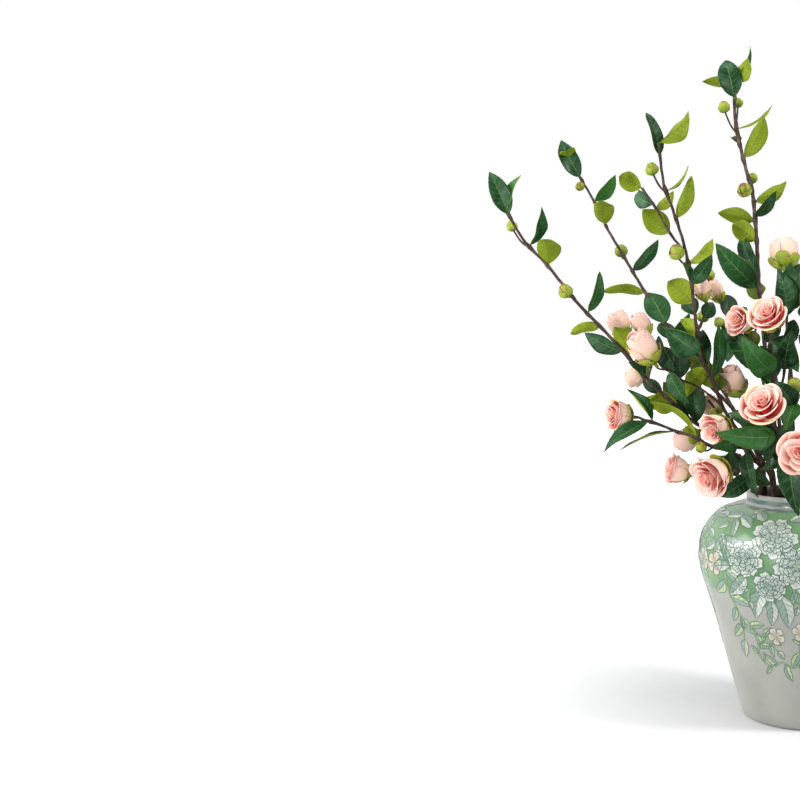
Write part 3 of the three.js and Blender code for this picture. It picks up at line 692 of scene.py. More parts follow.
# Petals, from the outermost in. Each list runs from the first petal to the last: how far out its rim lies,
# where it starts and ends in height, how wide it is, how it flares and rolls back, how round its cup is, how
# low its corners sink, and how much one edge lies over the next petal.
fullBloom = {
    "petals": 22, "firstOnes": 5, "core": 0.2, "oval": 0.5,
    "rim": [0.9, 0.84, 0.71, 0.57, 0.42, 0.27, 0.1], "low": [0.02, 0.04, 0.14, 0.24, 0.32, 0.4, 0.46],
    "top": [0.79, 0.86, 0.92, 0.96, 0.98, 0.97, 0.94], "half": [0.88, 0.88, 0.95, 1.05, 1.15, 1.35, 1.7],
    "flare": [0.05, 0.05, 0.03, 0.02, 0.01, 0.0, 0.0], "roll": [0.13, 0.1, 0.07, 0.05, 0.03, 0.02, 0.0],
    "cone": [0.0, 0.15, 0.55, 0.85, 1.0, 1.0, 1.0], "steep": [3.0, 2.6, 2.2, 2.0, 1.8, 1.5, 1.2],
    "corner": [0.22, 0.22, 0.24, 0.24, 0.22, 0.2, 0.16], "twist": [0.04, 0.05, 0.07, 0.09, 0.12, 0.16, 0.2],
}
youngBloom = {
    "petals": 14, "firstOnes": 4, "core": 0.34, "oval": 0.1,
    "rim": [0.98, 0.94, 0.9, 0.82, 0.66, 0.46, 0.2], "low": [0.02, 0.03, 0.1, 0.2, 0.3, 0.4, 0.5],
    "top": [0.78, 0.9, 0.97, 0.99, 0.98, 0.97, 0.96], "half": [1.08, 1.15, 1.2, 1.25, 1.35, 1.5, 1.8],
    "flare": [0.01, 0.0, 0.0, 0.0, 0.0, 0.0, 0.0], "roll": [0.06, 0.04, 0.03, 0.01, 0.0, 0.0, 0.0],
    "cone": [0.0, 0.0, 0.0, 0.1, 0.3, 0.5, 0.6], "steep": [2.0, 2.0, 2.0, 2.0, 1.8, 1.5, 1.2],
    "corner": [0.3, 0.3, 0.28, 0.26, 0.24, 0.22, 0.2], "twist": [0.03, 0.04, 0.05, 0.06, 0.08, 0.1, 0.14],
}
petalForm = {
    "rows": 11, "columns": 12, "thick": 0.5, "uneven": 0.05, "broader": 0.16, "notch": 0.012,
    "wave": 0.03, "ruffle": 0.008, "aside": 0.3, "coreSides": 9,
}
goldenTurn = 2.39996


def addPetal(piece, f, kind, centre, layer, seed):
    form = petalForm
    of = {key: np.interp(6 * layer, range(7), entry)
          for key, entry in kind.items() if isinstance(entry, list)}
    b, a = stations(form["rows"], form["columns"])  # from the foot to the rim, and from edge to edge
    b = b**0.85
    top = of["top"] * (1 + form["uneven"] * (draw(seed) - 0.5))
    corner = of["corner"] * drawFrom(0.7, 0.6, seed + 1)
    share = of["low"] + (top - of["low"]) * b * (1 - corner * np.abs(a) ** 2.4)
    share = share - 0.45 * of["roll"] * np.clip((b - 0.84) / 0.16, 0, 1) ** 2
    notch = form["notch"] * np.cos(2.2 * a * np.pi + 6 * draw(seed + 2)) * b**4
    broad = of["half"] * (1 + form["broader"] * (draw(seed + 8) - 0.5))
    angle = centre + broad * (0.5 + 0.5 * np.sin(np.pi / 2 * np.clip(b / 0.5, 0, 1))) * a
    # the reach from the flower's middle, between a cup that follows the outline and a cone
    rim = of["rim"] * (1 + form["uneven"] * (draw(seed + 4) - 0.5))
    cup = f["outline"](share) * rim * (0.86 + 0.14 * smooth(0.2, 1, b))
    edge = f["outline"](top) * rim
    cone = edge * (0.22 + 0.78 * b ** of["steep"]) * (1 - 0.06 * np.abs(a) ** 2)
    reach = cup + (cone - cup) * of["cone"]
    hug = np.abs(a) ** 3  # the corners lie close to the flower
    reach = reach * (1 + of["twist"] * a * smooth(0, 0.5, b)) * (1 - 0.07 * hug * b)
    bend = (of["flare"] * b**3 + of["roll"] * np.clip((b - 0.78) / 0.22, 0, 1) ** 2) * (1 - hug)
    wave = form["wave"] * np.sin(2.3 * a + 6 * draw(seed + 5)) * b**2
    wave = wave + form["ruffle"] * np.sin(6 * a + seed) * b**5
    reach = np.maximum(reach + f["radius"] * (bend + wave), 0.3)
    grid = onFlower(f, angle, reach, f["height"] * (share + notch) + 0.4)
    # the heart sits a little to one side and is pressed oval
    grid = grid + f["heart"] * f["radius"] * (layer * b**2)[..., None]
    squeeze = (grid - f["base"]) @ f["heartSide"] * (kind["oval"] * layer * b[:, 0])[:, None]
    grid = grid - f["heartSide"] * squeeze[..., None]
    thick = form["thick"] * (1 - 0.5 * b * np.ones_like(a))
    addBlade(piece, grid, thick, (0, 0), grow=b, across=a, layer=layer, tint=draw(seed + 6))


def makeBloom(label, f, looks):
    kind = fullBloom if f["full"] else youngBloom
    piece = newPiece("bloom" + label, [looks["full" if f["full"] else "young"]])
    start = 6.3 * draw(f["seed"] + 11)
    for n in range(kind["petals"]):
        even = 2 * math.pi / kind["firstOnes"]  # the first ones share the round, the rest go on in a spiral
        turn = even * n if n < 2 * kind["firstOnes"] else goldenTurn * n
        turn += 0.5 * even * (n >= kind["firstOnes"])
        centre = start + turn + petalForm["aside"] * (draw(f["seed"] + 13 * n) - 0.5)
        addPetal(piece, f, kind, centre, n / (kind["petals"] - 1), f["seed"] * 3 + n * 11)
    core = np.linspace(0.1, 0.86, 6)
    wide = f["radius"] * kind["core"] * np.array([0.8, 1.3, 1.2, 0.9, 0.6, 0.2])
    addTube(piece, onFlower(f, 0, 0, core * f["height"]), wide, 0, petalForm["coreSides"], grow=[0.1] * 6,
            layer=[1.0] * 6, tint=[0.5] * 6, inner=[1.0] * 6)
    return piece


# Finishes of what grows
barkColours = {"crack": "201410", "ridge": "4d3a33", "patch": "5d4c3e", "tip": "5d6a35"}


def barkLook():
    look, tree, shader = newLook("bark", {"Roughness": 0.78, "Specular IOR Level": 0.3})
    ridges = grain(tree, 900, 4, 0.6, (1, 1, 0.35))
    patches = grain(tree, 90, 3)
    height = fade(tree, ridges, 0.35, 0.65)
    tone = mixed(tree, height, barkColours["crack"], barkColours["ridge"])
    tone = laidOver(tree, tone, fade(tree, patches, 0.45, 0.7), barkColours["patch"])
    tip = fade(tree, readMark(tree, "grow"), 0.97, 1.0, 0.0, 0.3)
    join(tree, shader.inputs["Base Color"], laidOver(tree, tone, tip, barkColours["tip"]))
    raised(tree, shader, ridges, 0.6)
    return look


leafTop = {
    "dark": "0b2e12", "light": "1a4a1b", "young": "37701c", "satin": "55805f", "vein": "4a8350",
    "midrib": "66883a", "edge": "4c7028", "shade": "0c2408", "roughness": (0.5, 0.34), "raised": 0.3,
}
leafUnder = {
    "dark": "6c7d12", "light": "8d9d28", "blotch": "5b6e16", "vein": "4a5d12", "midrib": "5b7218",
    "shade": "1c2808", "roughness": (0.55, 0.68), "raised": 0.3,
}


# Lines of a leaf from its marks: slanted side veins and the midrib, 1 on a line.
def veinLines(tree, across):
    slant = times(tree, readMark(tree, "grow"), foliage["veins"])
    slant = maths(tree, "MULTIPLY_ADD", across, -foliage["veinSlant"], slant)
    offLine = maths(tree, "ABSOLUTE", maths(tree, "SUBTRACT", maths(tree, "FRACT", slant), 0.5))
    side = times(tree, fade(tree, offLine, 0.39, 0.5), fade(tree, across, 0.97, 0.3, 0.15, 1.0))
    return side, fade(tree, across, 0.075, 0.02)


def leafTopLook():
    look, tree, shader = newLook("leafTop", {"Specular IOR Level": 0.22})
    across = maths(tree, "ABSOLUTE", readMark(tree, "across"))
    veins, midrib = veinLines(tree, across)
    ageOrPaintedShade = readMark(tree, "layer")
    green = mixed(tree, readMark(tree, "tint"), leafTop["dark"], leafTop["light"])
    green = laidOver(tree, green, fade(tree, ageOrPaintedShade, 0.75, 1.0, 0, 0.6), leafTop["young"])
    blotch = grain(tree, 42, 3)
    # painted sheen: blotchy pale blue-grey patches in the colour stand in for the leaves' satin reflections
    satin = times(tree, fade(tree, blotch, 0.46, 0.68, 0, 0.38), fade(tree, across, 0.97, 0.5, 0.3, 1.0))
    green = laidOver(tree, green, satin, leafTop["satin"])
    green = laidOver(tree, green, times(tree, veins, 0.42), leafTop["vein"])
    green = laidOver(tree, green, times(tree, midrib, 0.5), leafTop["midrib"])
    green = laidOver(tree, green, fade(tree, across, 0.93, 1.0, 0, 0.4), leafTop["edge"])
    # painted shade: leaves marked -1, the inner ones, are darkened toward a deep green
    green = laidOver(tree, green, fade(tree, ageOrPaintedShade, 0.0, -1.0, 0, 0.45), leafTop["shade"])
    join(tree, shader.inputs["Base Color"], green)
    join(tree, shader.inputs["Roughness"], fade(tree, blotch, 0.3, 0.7, *leafTop["roughness"]))
    raised(tree, shader, times(tree, maths(tree, "MAXIMUM", veins, midrib), -1.0), leafTop["raised"])
    return look


def leafUnderLook():
    look, tree, shader = newLook("leafUnder", {"Specular IOR Level": 0.16})
    veins, midrib = veinLines(tree, maths(tree, "ABSOLUTE", readMark(tree, "across")))
    green = mixed(tree, readMark(tree, "tint"), leafUnder["dark"], leafUnder["light"])
    blotch = grain(tree, 60, 2)
    green = laidOver(tree, green, fade(tree, blotch, 0.38, 0.7, 0, 0.55), leafUnder["blotch"])
    green = laidOver(tree, green, times(tree, veins, 0.38), leafUnder["vein"])
    green = laidOver(tree, green, times(tree, midrib, 0.55), leafUnder["midrib"])
    # painted shade: the inner leaves, marked -1, are darkened
    shade = fade(tree, readMark(tree, "layer"), 0.0, -1.0, 0, 0.55)
    join(tree, shader.inputs["Base Color"], laidOver(tree, green, shade, leafUnder["shade"]))
    join(tree, shader.inputs["Roughness"], fade(tree, blotch, 0.3, 0.7, *leafUnder["roughness"]))
    raised(tree, shader, maths(tree, "MAXIMUM", veins, midrib), leafUnder["raised"])
    return look


scaleColours = {
    "dark": "7b8f1c", "light": "98ab30", "fibre": "748220", "foot": "566a1a", "blush": "b9805c",
    "edge": "7d3d2c",
}


def scaleLook():
    look, tree, shader = newLook("budScale", {"Specular IOR Level": 0.35, "Roughness": 0.5})
    grow = readMark(tree, "grow")
    across = maths(tree, "ABSOLUTE", readMark(tree, "across"))
    lime = mixed(tree, readMark(tree, "tint"), scaleColours["dark"], scaleColours["light"])
    fibre = grain(tree, 200, 2)
    lime = laidOver(tree, lime, fade(tree, fibre, 0.4, 0.75, 0, 0.4), scaleColours["fibre"])
    # darker green toward the foot: partly the scale's own colour, partly painted shade
    lime = laidOver(tree, lime, fade(tree, grow, 0.55, 0.0, 0, 0.75), scaleColours["foot"])
    blush = times(tree, fade(tree, grow, 0.75, 1.0), fade(tree, grain(tree, 70, 1), 0.42, 0.6, 0.0, 0.7))
    lime = laidOver(tree, lime, blush, scaleColours["blush"])
    edge = maths(tree, "MAXIMUM", fade(tree, grow, 0.88, 1.0), fade(tree, across, 0.82, 1.0, 0, 0.6))
    edge = times(tree, edge, fade(tree, grain(tree, 90, 2), 0.36, 0.6, 0.25, 0.95))
    join(tree, shader.inputs["Base Color"], laidOver(tree, lime, edge, scaleColours["edge"]))
    raised(tree, shader, fibre, 0.15)
    return look


petalColours = {
    "openPetal": {"pale": "f8cfc2", "blush": "faa394", "heart": "f24e4a", "cream": "eed9a0"},
    "youngPetal": {"pale": "dfb9ab", "blush": "d7938a", "heart": "d4665f", "cream": "cbbd80"},
}


# Petals: deep in the cup and toward the heart they blush, partly their own colour and partly painted shade
# in the cup's hollows; the outer backs are creamy with green at the base.
def petalLook(name):
    tones = petalColours[name]
    look, tree, shader = newLook(name, {"Roughness": 0.6, "Specular IOR Level": 0.2})
    grow, across, layer, tint, inner = [readMark(tree, mark) for mark in marks]
    # fine fibres that run from the foot of the petal to its rim, others on each petal
    streak = tree.nodes.new("ShaderNodeCombineXYZ")
    join(tree, streak.inputs[0], times(tree, across, 9.0))
    join(tree, streak.inputs[1], times(tree, grow, 1.6))
    join(tree, streak.inputs[2], maths(tree, "MULTIPLY_ADD", tint, 40.0, times(tree, layer, 9.0)))
    fibres = noise(tree, streak.outputs[0], 1.6, 4.0, 0.5)
    # how warm the pink is: redder toward the heart, and a deep red low in the cup that is partly painted
    # shade
    depth = times(tree, fade(tree, grow, 0.97, 0.5), fade(tree, inner, 0, 1, 0.12, 1.0))
    warm = maths(tree, "MULTIPLY_ADD", fade(tree, layer, 0.3, 1.0), 0.34, times(tree, depth, 0.72))
    warm = maths(tree, "ADD", warm, fade(tree, tint, 0, 1, -0.08, 0.1))
    warm = maths(tree, "ADD", warm, fade(tree, fibres, 0.3, 0.7, -0.1, 0.1))
    pink = mixed(tree, fade(tree, warm, 0.1, 0.6), tones["pale"], tones["blush"])
    pink = laidOver(tree, pink, fade(tree, warm, 0.55, 1.0), tones["heart"])
    # cream on the outer backs, and along the middle of a few outer petals
    outside = times(tree, fade(tree, inner, 1, 0), fade(tree, layer, 0.35, 0.0))
    base = times(tree, outside, fade(tree, grow, 0.8, 0.25))
    base = times(tree, base, fade(tree, fibres, 0.3, 0.62, 0.35, 1.0))
    pink = laidOver(tree, pink, base, tones["cream"])
    guard = times(tree, fade(tree, layer, 0.3, 0.12), fade(tree, tint, 0.74, 0.86, 0.0, 0.8))
    guard = times(tree, guard, fade(tree, grow, 0.55, 0.95))
    guard = times(tree, guard, fade(tree, maths(tree, "ABSOLUTE", across), 1.0, 0.3))
    join(tree, shader.inputs["Base Color"], laidOver(tree, pink, guard, tones["cream"]))
    raised(tree, shader, fibres, 0.3)
    return look


sprayLooks = [barkLook(), leafTopLook(), leafUnderLook(), scaleLook()]
bloomLooks = {"full": petalLook("openPetal"), "young": petalLook("youngPetal")}

# The sprays of the near half, measured from the middle of the jar's foot. A stick's number is 0 for the stem
# and then 1, 2 ... for the twigs, and a place on it counts its points, 0 at its root.
#   mouth, foot: x and y of the stem in the jar's mouth and on its floor
#   thick: radii of the thin and the thick ends
#   stem, twigs: points of the stem above the mouth, and of each twig from its root outward
#   shoots: bare shoots, with all their points from the jar's floor up
#   leaves, inner: stick, place on it, x, y, z of the tip, width, roll in degrees; the inner ones get painted
#       shade
#   buds: stick, place on it, x, y, z of the middle, radius
#   blooms: stick that it ends, x, y, z of the middle, diameter, heading and lean in degrees, how open, 0 to 1
sprays = {
    "west": {
        "mouth": [-43, -1], "foot": [-48, -2], "thick": [2.0, 3.3],
        "stem": [
            [-55, -10, 326], [-84, -20, 356], [-124, -30, 373], [-155, -38, 402], [-181, -44, 426],
            [-212, -51, 466], [-240, -58, 498], [-268, -64, 529], [-303, -74, 576], [-331, -82, 608],
            [-350, -92, 644],
        ],
        "twigs": [
            [[-175, -42, 421], [-185, -24, 429]],
            [[-193, -46, 442], [-200, -22, 465], [-213, -2, 477]],
            [[-200, -22, 465], [-194, -21, 475]],
            [[-106, -26, 365], [-112, -10, 359]],
        ],
        "shoots": [
            [[-30, 8, 8.3], [-32, 6, 290], [-52, 0, 340], [-76, 8, 381], [-101, 14, 421]],
        ],
        "leaves": [
            [0, 11.8, -372, -96, 697, 26, 15], [0, 12.0, -329, -102, 690, 20, -55],
            [0, 10.8, -306, -92, 651, 20, 68], [0, 10.0, -301, -110, 612, 31, 172],
            [0, 8.6, -241, -52, 570, 24, 40], [0, 8.0, -279, -71, 490, 22, 150],
            [0, 7.0, -265, -41, 492, 24, -42], [0, 6.8, -222, -76, 501, 22, 165],
            [0, 6.2, -205, -79, 455, 18, 55], [0, 4.7, -182, -58, 408, 30, 165],
            [0, 5.3, -199, -22, 398, 24, 190], [2, 1.0, -179, 8, 485, 22, 20],
        ],
        "inner": [
            [0, 5.4, -194, -22, 431, 18, 10], [0, 4.3, -163, -6, 438, 30, 20],
            [0, 4.0, -133, -16, 436, 28, 15], [0, 4.9, -169, -13, 428, 22, 155],
        ],
        "buds": [
            [0, 10.7, -349, -70, 628, 6.5], [0, 9.2, -282, -70, 544, 8.5],
        ],
        "blooms": [
            [1, -201, -10, 434, 30, 215, 0, 0.4], [2, -225, 11, 499, 34, 112, 0, 0.4],
            [3, -193, -21, 499, 29, 118, 5, 0.3], [4, -138, -2, 352, 34, 215, -15, 0.5],
        ],
    },
    "northWest": {
        "mouth": [-34, 19], "foot": [-40, 24], "thick": [1.9, 3.1],
        "stem": [
            [-52, 26, 328], [-81, 38, 383], [-126, 54, 430], [-172, 81, 496], [-204, 102, 544],
            [-236, 127, 595], [-259, 145, 632], [-282, 163, 676], [-314, 183, 728],
        ],
        "twigs": [],
        "shoots": [],
        "leaves": [
            [0, 9.5, -331, 176, 764, 28, -10], [0, 9.9, -316, 141, 744, 24, 180],
            [0, 8.9, -246, 155, 708, 20, 60], [0, 8.1, -264, 112, 671, 32, 178],
            [0, 6.5, -182, 105, 613, 24, 35], [0, 5.9, -262, 91, 543, 20, 150],
            [0, 5.0, -200, 103, 543, 36, 10], [0, 4.3, -160, 92, 486, 26, -30],
            [0, 4.8, -141, 84, 513, 22, 50],
        ],
        "inner": [
            [0, 4.3, -170, 78, 465, 24, 160], [0, 4.7, -185, 88, 500, 24, 10],
        ],
        "buds": [
            [0, 9.5, -300, 166, 694, 6], [0, 6.9, -241, 155, 600, 8.5],
        ],
        "blooms": [],
    },
    "frontWest": {
        "mouth": [-30, -22], "foot": [-34, -30], "thick": [1.8, 3.1],
        "stem": [
            [-51, -30, 325], [-67, -36, 354], [-90, -42, 392], [-98, -49, 415], [-107, -56, 438],
            [-117, -66, 464], [-122, -93, 520], [-124, -107, 552], [-131, -125, 596],
            [-143, -149, 640], [-150, -164, 664], [-154, -180, 709],
        ],
        "twigs": [
            [[-129, -122, 586], [-144, -131, 605], [-162, -142, 639], [-176, -151, 661]],
            [[-93, -44, 398], [-118, -54, 420], [-141, -64, 432], [-155, -74, 444]],
            [[-120, -80, 493], [-112, -72, 507], [-111, -66, 522]],
            [[-76, -39, 369], [-85, -22, 376]],
        ],
        "shoots": [
            [[-36, -18, 8.3], [-33, -16, 290], [-43, -35, 327], [-68, -48, 374], [-89, -58, 416]],
        ],
        "leaves": [
            [0, 12.6, -169, -169, 749, 20, 20], [0, 13.0, -117, -187, 742, 24, 150],
            [0, 11.7, -121, -152, 686, 18, 125], [0, 10.6, -118, -151, 675, 20, 165],
            [1, 3.0, -202, -175, 675, 24, 170], [1, 2.1, -189, -121, 657, 22, -15],
            [1, 1.9, -141, -127, 659, 16, 160], [1, 1.1, -179, -144, 638, 28, 175],
            [0, 9.5, -98, -94, 604, 22, 150], [0, 8.9, -98, -120, 583, 24, 25],
            [0, 8.1, -153, -114, 555, 31, 172], [0, 7.0, -159, -82, 497, 33, -15],
            [0, 5.7, -96, -84, 502, 26, 48], [2, 2.9, -130, -87, 402, 22, 20],
            [2, 2.4, -171, -50, 488, 22, -20], [0, 9.1, -131, -136, 574, 14, 30],
            [0, 7.4, -142, -59, 508, 24, 150], [0, 6.4, -137, -34, 409, 26, 150],
        ],
        "inner": [
            [0, 6.3, -116, -37, 494, 22, -10], [0, 5.0, -102, -7, 453, 20, 160],
            [0, 5.9, -148, -22, 467, 26, 150], [0, 5.2, -130, -25, 464, 26, 170],
            [0, 7.8, -136, -66, 531, 22, 20], [3, 1.0, -100, -64, 528, 20, 10],
            [2, 2.9, -166, -53, 474, 26, 10], [2, 2.0, -147, -40, 467, 26, 15],
            [0, 7.0, -132, -36, 497, 24, 10],
        ],
        "buds": [
            [0, 11.6, -164, -158, 682, 7], [0, 9.5, -138, -141, 586, 8.5], [3, 1.2, -108, -41, 560, 7],
            [0, 7.5, -114, -55, 509, 7],
        ],
        "blooms": [
            [2, -182, -92, 472, 42, 122, 15, 0.35], [3, -114, -71, 543, 24, 105, 10, 0.1],
            [4, -108, -10, 393, 30, 130, -10, 0.4],
        ],
    },
    "north": {
        "mouth": [-16, 27], "foot": [-20, 34], "thick": [2.6, 3.4],
        "stem": [
            [-27, 30, 321], [-32, 38, 372], [-40, 48, 431], [-46, 65, 488], [-52, 86, 547],
            [-55, 108, 604], [-61, 138, 670], [-69, 151, 700], [-81, 164, 750], [-86, 173, 787],
            [-86, 178, 809], [-90, 182, 829],
        ],
        "twigs": [],
        "shoots": [
            [[-8, 18, 8.3], [-6, 18, 290], [-8, 30, 348], [-10, 44, 417], [-15, 58, 488]],
        ],
        "leaves": [
            [0, 11.7, -100, 190, 863, 34, 0], [0, 12.8, -65, 161, 857, 24, 160],
            [0, 12.8, -63, 191, 877, 14, 60], [0, 12.8, -132, 187, 833, 16, 150],
            [0, 10.3, -34, 171, 793, 16, 115], [0, 9.4, -44, 142, 775, 28, 170],
            [0, 9.8, -92, 183, 754, 14, 30], [0, 7.8, -14, 125, 684, 24, 160],
            [0, 7.5, -29, 106, 672, 18, 40], [0, 7.4, -108, 103, 646, 22, 155],
            [0, 7.0, -87, 85, 629, 28, 165], [0, 5.9, -108, 67, 604, 34, -10],
            [0, 6.2, -77, 117, 617, 26, -20], [0, 5.3, -20, 51, 539, 28, 30],
            [0, 4.5, -74, 87, 468, 26, -25],
        ],
        "inner": [
            [0, 5.7, -71, 101, 559, 24, 160], [0, 3.9, -53, 55, 462, 26, 15],
            [0, 4.7, -26, 76, 503, 26, 20],
        ],
        "buds": [
            [0, 10.1, -99, 151, 790, 7.5], [0, 10.5, -83, 209, 803, 6.5], [0, 8.2, -71, 111, 674, 9],
            [0, 8.6, -63, 172, 694, 7],
        ],
        "blooms": [],
    },
    "lowWest": {
        "mouth": [-47, -25], "foot": [-50, -26], "thick": [1.9, 2.8],
        "stem": [
            [-53, -42, 313], [-65, -47, 328], [-84, -52, 342], [-105, -55, 348], [-128, -58, 361],
            [-146, -59, 366], [-167, -60, 375], [-187, -60, 381],
        ],
        "twigs": [],
        "shoots": [
            [[-46, -12, 8.3], [-45, -12, 290], [-62, -30, 338], [-88, -24, 373], [-111, -20, 403]],
        ],
        "leaves": [
            [0, 8.4, -212, -44, 420, 20, 55], [0, 8.6, -235, -96, 347, 20, 30],
            [0, 7.0, -216, -81, 343, 16, 65], [0, 5.7, -180, -65, 404, 22, 120],
            [0, 3.6, -107, -10, 321, 22, -30],
        ],
        "inner": [
            [0, 4.0, -74, -42, 307, 24, 15], [0, 3.0, -89, -25, 320, 20, 160],
            [0, 3.5, -66, -34, 314, 20, 10],
        ],
        "buds": [
            [0, 4.9, -117, -66, 348, 6.5],
        ],
        "blooms": [
            [0, -218, -60, 386, 46, 172, 30, 0.95],
        ],
    },
    "lowFront": {
        "mouth": [-32, -40], "foot": [-34, -46], "thick": [2.0, 2.8],
        "stem": [
            [-56, -66, 317], [-68, -84, 323], [-84, -104, 323],
        ],
        "twigs": [
            [[-59, -70, 319], [-85, -62, 320], [-113, -60, 314]],
            [[-56, -66, 317], [-64, -66, 345], [-74, -68, 362]],
        ],
        "shoots": [],
        "leaves": [
            [0, 2.0, -96, -80, 287, 24, -20], [2, 0.9, -49, -112, 294, 20, 15],
            [2, 1.7, -101, -101, 354, 20, -30], [1, 1.3, -117, -51, 290, 22, -30],
        ],
        "inner": [
            [0, 2.2, -33, -81, 303, 20, 10], [2, 1.3, -47, -47, 368, 24, 10],
            [2, 1.0, -87, -42, 360, 26, 20],
        ],
        "buds": [],
        "blooms": [
            [0, -99, -125, 323, 54, 212, 48, 1], [1, -144, -70, 320, 42, 158, 15, 0.9],
            [2, -96, -78, 373, 42, 215, 40, 0.95],
        ],
    },
    "front": {
        "mouth": [-7, -44], "foot": [-8, -50], "thick": [2.0, 2.9],
        "stem": [
            [-15, -66, 326], [-22, -86, 355], [-29, -106, 381],
        ],
        "twigs": [
            [[-18, -78, 345], [-4, -92, 354]],
            [[-22, -86, 355], [-9, -84, 384], [-5, -78, 407]],
        ],
        "shoots": [
            [[-16, -46, 8.3], [-14, -40, 290], [-28, -60, 335], [-36, -84, 369], [-39, -104, 381]],
        ],
        "leaves": [
            [0, 3.2, -83, -116, 397, 22, 35], [0, 3.4, -95, -144, 373, 29, -12],
            [0, 2.2, -42, -110, 327, 22, 20], [1, 0.6, -3, -138, 277, 30, 10],
            [2, 1.8, -16, -119, 373, 24, 15], [2, 1.5, -28, -95, 433, 24, 20],
        ],
        "inner": [
            [0, 3.8, -84, -88, 392, 27, 10], [0, 2.5, -12, -55, 369, 28, 15],
            [0, 3.2, -39, -76, 332, 26, 10], [0, 3.1, -11, -95, 386, 24, 20],
            [0, 3.3, -56, -69, 349, 22, 15],
        ],
        "buds": [
            [2, 2.0, -6, -74, 424, 9],
        ],
        "blooms": [
            [0, -40, -132, 405, 53, 105, 64, 1], [1, 4, -146, 352, 56, 150, 74, 1],
        ],
    },
    "heart": {
        "mouth": [-13, -6], "foot": [-14, -10], "thick": [2.0, 3.1],
        "stem": [
            [-20, -12, 314], [-23, -20, 353], [-26, -30, 397], [-30, -44, 442], [-34, -58, 473],
        ],
        "twigs": [
            [[-28, -36, 419], [-42, -42, 447], [-53, -48, 475]],
            [[-23, -22, 363], [-43, -14, 387], [-63, -8, 404]],
            [[-26, -30, 397], [-17, -6, 452], [-16, 20, 514], [-17, 30, 539]],
            [[-39, -40, 441], [-65, -26, 472], [-89, -20, 511]],
        ],
        "shoots": [
            [[2, -14, 8.3], [0, -12, 290], [-12, -24, 341], [-15, -26, 391], [-12, -24, 443]],
            [[-20, 8, 8.3], [-16, 8, 290], [-30, 2, 350], [-42, 10, 407], [-52, 18, 461]],
        ],
        "leaves": [
            [0, 4.7, -98, -31, 504, 30, -10], [0, 4.9, -66, -97, 483, 33, -15],
            [3, 0.8, -11, -60, 491, 26, 0], [3, 1.8, -25, -6, 567, 30, 15],
            [4, 1.0, -91, -60, 465, 22, 15], [2, 1.0, -24, -48, 425, 22, 20],
            [4, 1.7, -62, -6, 520, 18, 25], [3, 1.5, -37, 47, 460, 24, -20],
            [4, 1.4, -87, -32, 449, 24, 25], [0, 4.4, -57, -17, 445, 26, 30],
            [3, 1.3, -1, -32, 436, 26, 10],
        ],
        "inner": [
            [3, 2.0, -12, 6, 576, 30, 12], [3, 2.5, 0, 19, 574, 26, -20],
            [0, 4.7, -47, -56, 474, 30, 10], [4, 1.2, -101, -13, 471, 24, 20],
            [4, 1.8, -90, 1, 538, 26, 10], [3, 2.0, -4, 11, 538, 20, 165],
            [3, 1.3, -7, 12, 504, 26, 20], [1, 1.8, -67, -23, 491, 24, 150],
            [3, 0.9, -33, -19, 478, 28, 25], [2, 1.4, -77, 9, 401, 20, 160],
        ],
        "buds": [
            [4, 1.5, -96, -34, 501, 6],
        ],
        "blooms": [
            [0, -35, -92, 509, 46, 112, 60, 1], [1, -68, -60, 503, 40, 165, 45, 0.9],
            [2, -81, -8, 425, 40, 115, 10, 0.45], [3, -19, 42, 583, 42, 92, -35, 0.6],
            [4, -101, -16, 540, 24, 112, 4, 0.1],
        ],
    },
}


def makeHalf(half):
    for name, sprig in sprays.items():
        plain = "".join("_" + c.lower() if c.isupper() else c for c in name)
        label = half.capitalize() + name[0].upper() + name[1:]
        place = None
        if half == "far":
            place = farPlace(name)
            kept = round(len(sprig["leaves"]) * farHalf["leafShare"] + 1e-9)
            leftOut = farHalf["leftOut"].get(name, [])
            sprig = {**sprig, "leaves": sprig["leaves"][:kept],
                     "blooms": [row for i, row in enumerate(sprig["blooms"]) if i not in leftOut]}
        piece, flowers = makeSpray(name, label, sprig, sprayLooks)
        finishPiece(piece, [f"spray_{half}_{plain}"], place)
        for i, f in enumerate(flowers):
            bloom = makeBloom(f"{label}{i + 1}", f, bloomLooks)
            finishPiece(bloom, [f"bloom_{half}_{plain}_{i + 1}"], place)


for half in ("near", "far"):
    makeHalf(half)
    print(half, "half of the sprays grown")


# The jar: a turned body, with its painting laid on the glaze as thin enamel
jarForm = {
    "height": 286, "foot": 72, "collar": 66.5, "neck": 271, "wall": 6, "lip": 1.6, "sides": 132,
    "belly": [[73, 9], [79.5, 32], [90, 70], [103.5, 122], [116.5, 165], [123.4, 190], [124.5, 210],
              [119.5, 235], [103, 257.5], [84, 267.5], [66.5, 271]],
    "inside": [[62, 8], [74, 30], [97, 122], [117, 190], [117.5, 212], [102, 247], [78, 261], [60.5, 271]],
    "waist": 65.2, "waistFrom": 275, "waistTo": 281, "footRing": 60, "hollowUnder": 1.2, "floor": 8,
}


